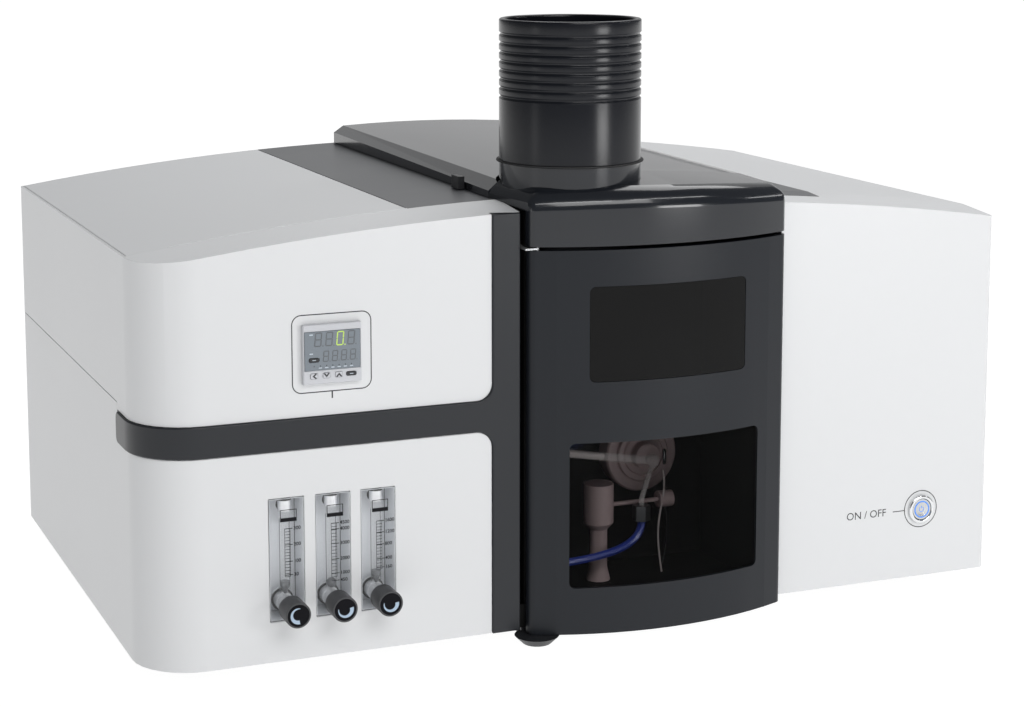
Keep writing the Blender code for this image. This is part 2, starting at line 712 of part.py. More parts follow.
def build_covers():
    band_end = TRIM_SIDE_REACH + TRIM_PROUD + CLEARANCE
    trim_gap = prism("trim_gap", [trim_outline(CLEARANCE, -OVERRUN, TRIM_RIGHT + OVERRUN)],
                     -OVERRUN, OVERRUN, "Y")
    lower, lower_hollow = left_cover("left_lower_cover", 0, SIDE_SEAM - CLEARANCE)
    combine(lower, lower_hollow)
    combine(lower, trim_gap)
    combine(lower, box("lower_band_gap", (-OVERRUN, -OVERRUN, TRIM_LOW - CLEARANCE),
                       (TRIM_RIGHT + OVERRUN, band_end, SIDE_SEAM + OVERRUN)))
    for x in meter_centres():
        half = METER_WIDTH / 2 + CLEARANCE
        opening = box("meter_opening", (x - half, -OVERRUN, METER_LOW - CLEARANCE),
                      (x + half, OVERRUN, METER_HIGH + CLEARANCE))
        combine(lower, opening)

    upper, upper_hollow = left_cover("left_upper_cover", TRIM_HIGH + CLEARANCE, CROWN_TOP)
    combine(upper, crowned_slab("upper_sky", -OVERRUN, CABINET_WIDTH, -OVERRUN,
                                CABINET_DEPTH + OVERRUN, 0, None))
    combine(upper_hollow, crowned_slab("return_underside", -OVERRUN, CABINET_WIDTH, -OVERRUN,
                                       RETURN_DEPTH, -SHEET, None))
    combine(upper, upper_hollow)
    combine(upper, trim_gap)
    combine(upper, box("upper_seam_gap", (-OVERRUN, band_end, 0),
                       (CORNER_RADIUS, CABINET_DEPTH + OVERRUN, SIDE_SEAM + CLEARANCE)))
    half = CONTROLLER_BODY / 2 + CLEARANCE
    combine(upper, box("controller_opening",
                       (CONTROLLER_X - half, -OVERRUN, CONTROLLER_Z - half),
                       (CONTROLLER_X + half, OVERRUN, CONTROLLER_Z + half)))

    plan = ([(DOOR_RIGHT + CLEARANCE, 0)]
            + arc(CABINET_WIDTH - RIGHT_CORNER_RADIUS, RIGHT_CORNER_RADIUS, RIGHT_CORNER_RADIUS,
                  270, 360, 4)
            + [(CABINET_WIDTH, CABINET_DEPTH), (DOOR_RIGHT + CLEARANCE, CABINET_DEPTH)])
    right = prism("right_cover", [plan], 0, CROWN_TOP, "Z", WHITE_PAINT)
    combine(right, crowned_slab("right_sky", 0, CABINET_WIDTH + OVERRUN, -OVERRUN,
                                CABINET_DEPTH + OVERRUN, 0, None))
    hollow = box("right_hollow", (0, SHEET, -OVERRUN),
                 (CABINET_WIDTH - SHEET, CABINET_DEPTH + OVERRUN, CROWN_TOP))
    combine(hollow, crowned_slab("right_underside", -OVERRUN, CABINET_WIDTH + OVERRUN, -OVERRUN,
                                 CABINET_DEPTH + OVERRUN + OVERRUN, -SHEET, None))
    combine(right, hollow)
    combine(right, box("panel_notch", (0, RIGHT_STRIP_DEPTH - CLEARANCE, SHEET),
                       (RIGHT_PANEL_EDGE + CLEARANCE, CABINET_DEPTH + OVERRUN, SKY)))
    combine(right, box("rear_panel_notch", (0, CABINET_DEPTH - SHEET, -OVERRUN),
                       (CABINET_WIDTH - SHEET, CABINET_DEPTH + OVERRUN, SKY)))
    combine(right, cylinder("power_opening", BEZEL_BARREL_RADIUS + CLEARANCE, -OVERRUN, OVERRUN,
                            (POWER_X, 0, POWER_Z), "Y"))


def build_trim():
    flat_end = CORNER_RADIUS * (1 - math.pi / 2) - (TRIM_SIDE_REACH - CORNER_RADIUS)
    trim = prism("trim_frame", [trim_outline(0, flat_end, TRIM_RIGHT)], -TRIM_PROUD, SHEET, "Y",
                 GREY_PAINT, chamfer=TRIM_CHAMFER)
    wrap_corner(trim)


def build_top():
    rear = CABINET_DEPTH - SHEET
    crowned_slab("top_left_panel", SHEET + CLEARANCE, LEFT_PANEL_EDGE - CLEARANCE,
                 RETURN_DEPTH + CLEARANCE, rear, -SHEET, 0, WHITE_PAINT)
    panel = crowned_slab("top_center_panel", LEFT_PANEL_EDGE + CLEARANCE, RIGHT_PANEL_EDGE,
                         RIGHT_STRIP_DEPTH, rear, -SHEET, 0, GREY_PAINT)
    combine(panel, box("panel_front_notch", (0, 0, SHEET),
                       (DOOR_RIGHT - CLEARANCE, RETURN_DEPTH + CLEARANCE, SKY)))
    combine(panel, cylinder("panel_flue_opening", FLUE_RADIUS - FLUE_SEAT, DECK_Z, SKY,
                            (FLUE_X, FLUE_Y, 0), "Z", steps=FINE_STEPS))
    combine(panel, box("lamp_hatch", (LAMP_HATCH_LEFT, LAMP_HATCH_FRONT, DECK_Z),
                       (LAMP_HATCH_RIGHT, LAMP_HATCH_BACK, SKY)))


def build_frame():
    front = TRAY_SETBACK
    rear = CABINET_DEPTH - SHEET - CLEARANCE
    inset = SHEET + CLEARANCE
    wide = CABINET_WIDTH - inset

    def tray_plan(step):
        radius = CORNER_RADIUS - front - step
        corner = inset + step + radius
        return (arc(corner, front + step + radius, radius, 180, 270)
                + [(wide - step, front + step), (wide - step, rear - step),
                   (inset + step, rear - step)])

    tray = prism("base_tray", [tray_plan(0)], 0, TRAY_FLANGE, "Z", BARE_STEEL)
    combine(tray, prism("tray_hollow", [tray_plan(SHEET)], SHEET, TRAY_FLANGE + OVERRUN, "Z"))

    places = [inset + (wide - inset) * i / CROWN_STEPS for i in range(CROWN_STEPS + 1)]
    outline = [(wide, 0), (inset, 0)] + [(x, crown(x) - CLEARANCE) for x in places]
    half_width = INLET_WIDTH / 2 + CLEARANCE
    half_height = INLET_HEIGHT / 2 + CLEARANCE
    left, right = INLET_X - half_width, INLET_X + half_width
    low, high = INLET_Z - half_height, INLET_Z + half_height
    holes = [[(left, low), (right, low), (right, high), (left, high)],
             arc(GAS_X, GAS_Z, GAS_BODY_RADIUS + CLEARANCE, 360, 15, 23)]
    for i in range(VENT_COUNT):
        left = VENT_X + VENT_PITCH * i
        holes.append(rounded_rectangle(left, VENT_Z, left + VENT_WIDTH, VENT_Z + VENT_HEIGHT,
                                       VENT_WIDTH / 3, 2))
    prism("rear_panel", [outline] + holes, CABINET_DEPTH - SHEET + CLEARANCE, CABINET_DEPTH, "Y",
          GREY_PAINT)

    floor = SHEET + CLEARANCE
    for name, left in (("left_bulkhead", BULKHEAD_LEFT), ("right_bulkhead", BULKHEAD_RIGHT)):
        top = crown(left + SHEET) - SHEET - CLEARANCE
        if left < CABINET_WIDTH / 2:
            top = crown(left) - SHEET - CLEARANCE
        tray_lip = front + SHEET + CLEARANCE
        back = rear - SHEET - CLEARANCE
        outline = [(tray_lip, floor), (back, floor), (back, top), (RETURN_DEPTH, top),
                   (RETURN_DEPTH, top - RETURN_FALL), (tray_lip, top - RETURN_FALL)]
        prism(name, [outline], left, left + SHEET, "X", BARE_STEEL)

    shield = [(SHIELD_Y, floor), (SHIELD_Y + SHEET, floor), (SHIELD_Y + SHEET, DECK_Z),
              (DECK_REAR, DECK_Z), (DECK_REAR, DECK_Z + SHEET), (SHIELD_Y + SHEET, DECK_Z + SHEET),
              (SHIELD_Y + SHEET, SHIELD_TOP), (SHIELD_Y, SHIELD_TOP)]
    prism("furnace_shield", [shield], BULKHEAD_LEFT + SHEET + CLEARANCE,
          BULKHEAD_RIGHT - CLEARANCE, "X", DARK_SATIN)


def build_feet():
    side = FOOT_INSET
    places = {"front_left_foot": (side, side),
              "front_right_foot": (CABINET_WIDTH - side, side),
              "rear_left_foot": (side, CABINET_DEPTH - side),
              "rear_right_foot": (CABINET_WIDTH - side, CABINET_DEPTH - side)}
    for name, (x, y) in places.items():
        height = FOOT_HEIGHT - CLEARANCE
        profile = [(0, height), (FOOT_RADIUS, height), (FOOT_RADIUS - FOOT_TAPER, 0), (0, 0)]
        turned(name, profile, (x, y, -FOOT_HEIGHT), "UP", BLACK_RUBBER)


# Door
def build_door():
    outline = bulge(0, 0, DOOR_EDGE_RADIUS)
    outline = [(DOOR_LEFT, DOOR_REAR)] + outline + [(DOOR_RIGHT, DOOR_REAR)]
    shell = prism("door_shell", [outline], DOOR_LOW, DOOR_HIGH, "Z", DARK_SATIN, smooth=True)
    inner = bulge(DOOR_WALL, DOOR_WALL, DOOR_EDGE_RADIUS - DOOR_WALL)
    inner = ([(DOOR_LEFT + DOOR_WALL, OVERRUN)] + inner + [(DOOR_RIGHT - DOOR_WALL, OVERRUN)])
    combine(shell, prism("door_hollow", [inner], DOOR_LOW + DOOR_WALL, DOOR_HIGH - DOOR_WALL, "Z"))
    windows = (("lower_window", LOWER_WINDOW_WIDTH, LOWER_WINDOW_LOW, LOWER_WINDOW_HIGH),
               ("upper_window", UPPER_WINDOW_WIDTH, UPPER_WINDOW_LOW, UPPER_WINDOW_HIGH))
    pivot = (PIVOT_X, PIVOT_Y, 0)
    for name, width, low, high in windows:
        left = DOOR_CENTRE_X - width / 2
        right = DOOR_CENTRE_X + width / 2
        opening = rounded_rectangle(left, low, right, high, WINDOW_RADIUS)
        combine(shell, prism(f"{name}_opening", [opening], -BULGE_REACH - OVERRUN,
                             PIVOT_Y, "Y"))
        band = bulge_band(left, right, PANE_RECESS, PANE_RECESS + PANE_THICKNESS)
        pane = prism(f"door_{name}", [band], low, high, "Z", SMOKED_PANE, smooth=True)
        gap = CLEARANCE
        shape = rounded_rectangle(left + gap, low + gap, right - gap, high - gap,
                                  WINDOW_RADIUS - gap)
        trimmer = prism(f"{name}_shape", [shape], -BULGE_REACH - OVERRUN, PIVOT_Y, "Y")
        combine(pane, trimmer, "INTERSECT")
        set_origin(pane, pivot)
    pin_hole = PIN_RADIUS + CLEARANCE
    depth = PIN_REACH_DOOR + CLEARANCE
    for name, low, high in (("door_upper_bore", DOOR_HIGH - depth, DOOR_HIGH + OVERRUN),
                            ("door_lower_bore", DOOR_LOW - OVERRUN, DOOR_LOW + depth)):
        combine(shell, cylinder(name, pin_hole, low, high, pivot, "Z", steps=12))
    set_origin(shell, pivot)


def build_hinge():
    pivot = (PIVOT_X, PIVOT_Y, 0)
    hood_low = DOOR_HIGH + HOOD_GAP
    upper = cylinder("upper_hinge_pin", PIN_RADIUS, DOOR_HIGH - PIN_REACH_DOOR,
                     hood_low + PIN_REACH_HOOD, pivot, "Z", BARE_STEEL, steps=12)
    front, back = PIVOT_Y - LEAF_HALF_WIDTH, PIVOT_Y + LEAF_HALF_WIDTH
    arm = LEAF_LEFT + LEAF_ARM
    leaf = [(LEAF_LEFT, front), (PIVOT_X, front), (PIVOT_X, back), (arm, back),
            (arm, LEAF_REAR), (BULKHEAD_LEFT - CLEARANCE, LEAF_REAR),
            (BULKHEAD_LEFT - CLEARANCE, LEAF_REAR + LEAF_ARM), (LEAF_LEFT, LEAF_REAR + LEAF_ARM)]
    low = DOOR_HIGH + (HOOD_GAP - LEAF_THICKNESS) / 2
    combine(upper, prism("hinge_leaf", [leaf], low, low + LEAF_THICKNESS, "Z"), "UNION")

    hub_top = DOOR_LOW - CLEARANCE
    cylinder("lower_hinge_pin", PIN_RADIUS, hub_top - HUB_PIN_DEPTH + CLEARANCE,
             DOOR_LOW + PIN_REACH_DOOR, pivot, "Z", BARE_STEEL, steps=12)
    hub = turned("hinge_foot", [(0, 0), (HUB_TOP_RADIUS, 0), (HUB_LOW_RADIUS, -HUB_HEIGHT),
                                (0, -HUB_HEIGHT)],
                 (PIVOT_X, PIVOT_Y, hub_top), "UP", BLACK_PLASTIC)
    arm = HUB_ARM_HALF_WIDTH
    combine(hub, box("hub_arm", (PIVOT_X - arm, TRAY_SETBACK, hub_top - HUB_HEIGHT / 2),
                     (PIVOT_X + arm, HUB_ARM_REAR, -CLEARANCE)), "UNION")
    combine(hub, cylinder("hub_bore", PIN_RADIUS + CLEARANCE, hub_top - HUB_PIN_DEPTH,
                          OVERRUN, pivot, "Z", steps=12))


# Hood, lid and flue
def hood_crown(x, y):
    """Height of the arched top that the hood and the lid share, rounder than the panels'."""
    rise = HOOD_RISE * min(1, y / HOOD_DEPTH)
    rise += LID_RISE * max(0, (y - HOOD_DEPTH) / (LID_REAR - HOOD_DEPTH))
    fall = (x - DOOR_LEFT - HOOD_CROWN_OFFSET) ** 2 / (2 * HOOD_CROWN_RADIUS)
    return crown(x) + HOOD_HEIGHT + rise - fall


def build_hood():
    low = DOOR_HIGH + HOOD_GAP
    start = HOOD_TOP - HOOD_ROLL_HEIGHT
    turn = math.radians(HOOD_ROLL_ANGLE)
    levels = [(low, 0)]
    for i in range(HOOD_ROLL_STEPS + 1):
        angle = turn * i / HOOD_ROLL_STEPS
        levels.append((start + HOOD_ROLL_HEIGHT * math.sin(angle) / math.sin(turn),
                       HOOD_ROLL_DEPTH * (1 - math.cos(angle)) / (1 - math.cos(turn))))
    rings = []
    for z, front_inset in levels:
        rise = max(0, z - (HOOD_TOP - HOOD_CHAMFER_HEIGHT))
        side = HOOD_CHAMFER_WIDTH * rise / HOOD_CHAMFER_HEIGHT
        front = bulge(side, front_inset, DOOR_EDGE_RADIUS)
        left, right = LID_LEFT + side, DOOR_RIGHT - side
        last = len(front) - 1
        rear = [(right + (left - right) * i / last, HOOD_DEPTH) for i in range(last + 1)]
        share = (z - low) / (HOOD_TOP - low)
        rings.append([(x, y, z + share * (hood_crown(x, y) - HOOD_TOP)) for x, y in front + rear])
    hood = loft("front_hood", rings, DARK_GLOSS)
    lintel_low = CROWN_TOP - HOOD_LINTEL
    chamber_left = BULKHEAD_LEFT + SHEET + CLEARANCE
    crease = DOOR_RIGHT - HOOD_CHAMFER_WIDTH
    left = LID_LEFT - OVERRUN
    right = DOOR_RIGHT + OVERRUN
    below = box("below_hood", (left, -BACK_GAP, 0), (right, HOOD_DEPTH + OVERRUN, HOOD_TOP))
    combine(below, crowned_slab("hood_floor", left - OVERRUN, right + OVERRUN,
                                -OVERRUN, HOOD_DEPTH + 2 * OVERRUN, CLEARANCE, None))
    combine(hood, below)
    combine(hood, box("lintel", (chamber_left, -HOOD_WALL / 2, lintel_low),
                      (crease, RETURN_DEPTH - CLEARANCE, CROWN_TOP)), "UNION")
    left = DOOR_LEFT + HOOD_END_BLOCK
    right = DOOR_RIGHT - HOOD_END_BLOCK
    nose = bulge_band(left, right, HOOD_WALL, HOOD_WALL)[:BULGE_STEPS + 1]
    nose = [(left, OVERRUN)] + nose + [(right, OVERRUN)]
    combine(hood, prism("nose_hollow", [nose], low - OVERRUN, lintel_low - CLEARANCE, "Z"))
    axis = (FLUE_X, FLUE_Y, 0)
    combine(hood, cylinder("hood_flue_opening", FLUE_RADIUS + CLEARANCE, CROWN_TOP, SKY, axis,
                           "Z", steps=FINE_STEPS))
    combine(hood, cylinder("hood_throat", FLUE_RADIUS - FLUE_SEAT, 0, SKY, axis,
                           "Z", steps=FINE_STEPS))
    combine(hood, cylinder("hood_pin_bore", PIN_RADIUS + CLEARANCE, low - OVERRUN,
                           low + PIN_REACH_HOOD + CLEARANCE, (PIVOT_X, PIVOT_Y, 0), "Z", steps=12))


def lid_section(y, inset, drop):
    """A section of the lid across X at depth y, its underside and then its top."""
    share = (y - HOOD_DEPTH) / (LID_REAR - HOOD_DEPTH)
    fall = HOOD_CHAMFER_HEIGHT - LID_CHAMFER_LOSS * share - inset / 2
    left, right = LID_LEFT + LID_TAPER * share + inset, DOOR_RIGHT - inset
    crease_left, crease_right = left + HOOD_CHAMFER_WIDTH, right - HOOD_CHAMFER_WIDTH
    top = [crease_left + (crease_right - crease_left) * i / ARC_STEPS
           for i in range(ARC_STEPS + 1)]
    places = [left] + top + [right]
    low = [(x, y, crown(x) + CLEARANCE - drop) for x in reversed(places)]
    high = [(x, y, hood_crown(x, y) - inset) for x in top]
    return (low + [(left, y, hood_crown(crease_left, y) - inset - fall)] + high
            + [(right, y, hood_crown(crease_right, y) - inset - fall)])


def build_lid():
    front = HOOD_DEPTH + BACK_GAP
    lid = loft("rear_lid", [lid_section(front, 0, 0), lid_section(LID_REAR, 0, 0)], DARK_GLOSS)
    hollow = loft("lid_hollow", [lid_section(front + LID_WALL, LID_WALL, OVERRUN),
                                 lid_section(LID_REAR - LID_WALL, LID_WALL, OVERRUN)])
    notch = GASKET_RADIUS + CLEARANCE
    axis = (FLUE_X, FLUE_Y, 0)
    combine(hollow, cylinder("notch_wall", notch + LID_WALL, DECK_Z, SKY, axis, "Z",
                             steps=FINE_STEPS))
    combine(lid, hollow)
    combine(lid, cylinder("lid_notch", notch, DECK_Z, SKY, axis, "Z", steps=FINE_STEPS))
    rod_left = LID_LEFT + ROD_INSET
    rod_right = DOOR_RIGHT - ROD_INSET
    line = (0, ROD_Y, ROD_Z)
    rod = cylinder("lid_hinge_rod", ROD_RADIUS, rod_left, rod_right, line, "X", BARE_STEEL, 16)
    lug_top = ROD_Z + ROD_RADIUS + LUG_RIM
    for side, place, step in (("left", rod_left, 1), ("right", rod_right, -1)):
        lug_low, lug_high = sorted((place, place + step * LUG_WIDTH))
        combine(rod, box(f"{side}_lug", (lug_low, LUG_FRONT, ROD_Z - LUG_DROP),
                         (lug_high, LUG_FRONT + LUG_THICKNESS, lug_top)), "UNION")
        begin = place + step * (LUG_WIDTH + CLEARANCE)
        low, high = sorted((begin, begin + step * BARREL_LENGTH))
        web = box(f"{side}_barrel_web", (low + CLEARANCE, LID_REAR - LID_WALL / 2, ROD_Z),
                  (high - CLEARANCE, ROD_Y, ROD_Z + BARREL_RADIUS / 2))
        combine(lid, web, "UNION")
        combine(lid, cylinder(f"{side}_barrel", BARREL_RADIUS, low, high, line, "X"), "UNION")
    combine(lid, cylinder("barrel_bore", ROD_RADIUS + CLEARANCE, rod_left - OVERRUN,
                          rod_right + OVERRUN, line, "X", steps=16))
    set_origin(lid, line)

    catch_right = LID_LEFT - CLEARANCE
    base = crown(catch_right) + CLEARANCE
    box("lid_catch", (catch_right - CATCH_DEPTH, CATCH_Y, base),
        (catch_right, CATCH_Y + CATCH_LENGTH, base + CATCH_HEIGHT), BLACK_PLASTIC)


def build_flue():
    inner = FLUE_RADIUS - FLUE_WALL
    axis = (FLUE_X, FLUE_Y, 0)
    low = CROWN_TOP + CLEARANCE
    turned("flue_collar", [(FLUE_RADIUS, COLLAR_TOP), (FLUE_RADIUS, low), (inner, low),
                           (inner, COLLAR_TOP)], axis, "UP", DARK_GLOSS, FINE_STEPS, True)
    low = COLLAR_TOP + CLEARANCE
    high = low + GASKET_THICKNESS
    turned("flue_gasket", [(GASKET_RADIUS, high), (GASKET_RADIUS, low), (inner, low),
                           (inner, high)], axis, "UP", BLACK_RUBBER, FINE_STEPS, True)
    low = high + CLEARANCE
    profile = [(inner, low), (inner, PIPE_TOP), (FLUE_RADIUS - RIM_ROUNDING, PIPE_TOP)]
    profile += [(FLUE_RADIUS, PIPE_TOP - RIM_ROUNDING)]
    for i in range(GROOVE_COUNT):
        z = PIPE_TOP - RIM_BAND - GROOVE_PITCH * i
        profile += [(FLUE_RADIUS, z + GROOVE_HALF_WIDTH), (FLUE_RADIUS - GROOVE_DEPTH, z),
                    (FLUE_RADIUS, z - GROOVE_HALF_WIDTH)]
    profile.append((FLUE_RADIUS, low))
    turned("flue_pipe", profile, axis, "UP", DARK_SATIN, FINE_STEPS, True)


# Front controls
def meter_centres():
    return [CABINET_WIDTH * share for share in METER_CENTRES_SHARES]


def build_meters():
    valve_z = METER_LOW + VALVE_HEIGHT
    back = METER_DEPTH - METER_PROUD
    for number, x in enumerate(meter_centres(), start=1):
        half = METER_WIDTH / 2
        outline = [(x - half, METER_LOW), (x + half, METER_LOW), (x + half, METER_HIGH),
                   (x - half, METER_HIGH)]
        body = prism(f"flowmeter_body_{number}", [outline], -METER_PROUD, back, "Y",
                     CLEAR_ACRYLIC, chamfer=METER_CHAMFER)
        line = (x, 0, valve_z)
        combine(body, cylinder(f"float_bore_{number}", METER_BORE_RADIUS, valve_z,
                               METER_HIGH + OVERRUN, (x, METER_BORE_Y, 0), "Z"))
        combine(body, cylinder(f"valve_hole_{number}", BARREL_HOLE_RADIUS,
                               -METER_PROUD - OVERRUN, RING_BACK, line, "Y"))
        combine(body, cylinder(f"ring_hole_{number}", RING_HOLE_RADIUS, RING_FRONT,
                               back + OVERRUN, line, "Y"))
        barrel = BARREL_HOLE_RADIUS - CLEARANCE
        ring = RING_HOLE_RADIUS - CLEARANCE
        turned(f"flowmeter_stem_{number}",
               [(0, METER_PROUD + STEM_NECK_LENGTH + METER_KNOB_GAP),
                (STEM_NECK_RADIUS, METER_PROUD + STEM_NECK_LENGTH + METER_KNOB_GAP),
                (STEM_NECK_RADIUS, METER_PROUD + CLEARANCE), (barrel, METER_PROUD + CLEARANCE),
                (barrel, -RING_FRONT - CLEARANCE), (ring, -RING_FRONT - CLEARANCE),
                (ring, -RING_BACK), (0, -RING_BACK)], line, "FRONT", BARE_STEEL, 20)
        rear = METER_PROUD + METER_KNOB_GAP
        face = rear + METER_KNOB_LENGTH
        soft = METER_KNOB_ROUNDING
        pocket = STEM_NECK_RADIUS + CLEARANCE
        turned(f"flowmeter_knob_{number}",
               [(0, face), (METER_KNOB_RADIUS - soft, face), (METER_KNOB_RADIUS, face - soft),
                (METER_KNOB_RADIUS, rear), (pocket, rear),
                (pocket, rear + STEM_NECK_LENGTH + CLEARANCE),
                (0, rear + STEM_NECK_LENGTH + CLEARANCE)], line, "FRONT", BLACK_PLASTIC)
        float_low = valve_z + BARREL_HOLE_RADIUS
        wide = METER_BORE_RADIUS - CLEARANCE
        at = (x, METER_BORE_Y, float_low)
        if number == 2:
            profile = [(wide * math.sin(a), wide - wide * math.cos(a))
                       for a in [math.pi * (1 - i / ARC_STEPS) for i in range(ARC_STEPS + 1)]]
            profile[0] = (0, 2 * wide)
            profile[-1] = (0, 0)
        else:
            profile = [(0, FLOAT_HEIGHT), (wide, FLOAT_HEIGHT),
                       (wide, FLOAT_HEIGHT - FLOAT_HEAD_HEIGHT), (FLOAT_TAIL_RADIUS, 0), (0, 0)]
        turned(f"flowmeter_float_{number}", profile, at, "UP", BARE_STEEL, 16)


def build_controller():
    x, z = CONTROLLER_X, CONTROLLER_Z
    half = CONTROLLER_FACE / 2
    face = [(x - half, z - half), (x + half, z - half), (x + half, z + half),
            (x - half, z + half)]
    housing = prism("controller_housing", [face], -CONTROLLER_PROUD, -CLEARANCE, "Y",
                    GREY_PLASTIC, chamfer=CONTROLLER_CHAMFER)
    half = CONTROLLER_BODY / 2
    combine(housing, box("controller_body", (x - half, -CONTROLLER_PROUD / 2, z - half),
                         (x + half, CONTROLLER_DEPTH, z + half)), "UNION")
    wide = DISPLAY_WIDTH / 2
    gap = CLEARANCE
    seat = -CONTROLLER_PROUD + DISPLAY_THICKNESS
    combine(housing, box("display_recess",
                         (x - wide - gap, -CONTROLLER_PROUD - OVERRUN, z + DISPLAY_LOW - gap),
                         (x + wide + gap, seat, z + DISPLAY_HIGH + gap)))
    display = box("controller_display",
                  (x - wide, -CONTROLLER_PROUD - DISPLAY_PROUD, z + DISPLAY_LOW),
                  (x + wide, seat - gap, z + DISPLAY_HIGH), GREEN_DISPLAY)
    floor = -CONTROLLER_PROUD + KEY_DEPTH
    pill = (PILL_WIDTH, PILL_HEIGHT)
    square = (KEY_WIDTH, KEY_HEIGHT)
    keys = (("shift_key", -3 / 2, square), ("down_key", -1 / 2, square),
            ("up_key", 1 / 2, square), ("set_key", 3 / 2, pill))
    places = [(name, pitches * KEY_PITCH, KEY_ROW, size) for name, pitches, size in keys]
    places.append(("mode_key", MODE_KEY_X, MODE_KEY_Z, pill))
    for name, right_of, above, (width, height) in places:
        cx, cz = x + right_of, z + above
        left, right = cx - width / 2, cx + width / 2
        low, high = cz - height / 2, cz + height / 2
        well = rounded_rectangle(left - gap, low - gap, right + gap, high + gap,
                                 KEY_ROUNDING + gap, 3)
        cutter = prism(f"{name}_well", [well], -CONTROLLER_PROUD - OVERRUN, floor, "Y")
        combine(housing, cutter)
        if name == "mode_key":
            combine(display, cutter)
        cap = rounded_rectangle(left, low, right, high, KEY_ROUNDING, 3)
        key = prism(name, [cap], -CONTROLLER_PROUD - KEY_PROUD, floor - KEY_TRAVEL - gap, "Y",
                    BLACK_PLASTIC)
        set_origin(key, (cx, -CONTROLLER_PROUD, cz))


def build_power_button():
    at = (POWER_X, 0, POWER_Z)
    depth = -BEZEL_DEPTH
    turned("power_button_bezel",
           [(BEZEL_BORE_RADIUS + BEZEL_WALL / 3, BEZEL_FRONT),
            (BEZEL_RADIUS - BEZEL_WALL / 3, BEZEL_FRONT - BEZEL_WALL / 2),
            (BEZEL_RADIUS, CLEARANCE), (BEZEL_BARREL_RADIUS, CLEARANCE),
            (BEZEL_BARREL_RADIUS, depth), (0, depth), (0, depth + BEZEL_WALL),
            (BEZEL_BORE_RADIUS, depth + BEZEL_WALL), (BEZEL_BORE_RADIUS, BEZEL_FRONT - BEZEL_WALL)],
           at, "FRONT", BRIGHT_CHROME, 32, True)
    back = BUTTON_FRONT - BUTTON_LENGTH
    turned("power_button",
           [(0, BUTTON_FRONT - BUTTON_DISH), (BUTTON_RADIUS / 2, BUTTON_FRONT - BUTTON_DISH / 2),
            (BUTTON_RADIUS, BUTTON_FRONT), (BUTTON_RADIUS, back), (0, back)],
           at, "FRONT", BARE_STEEL, 32)


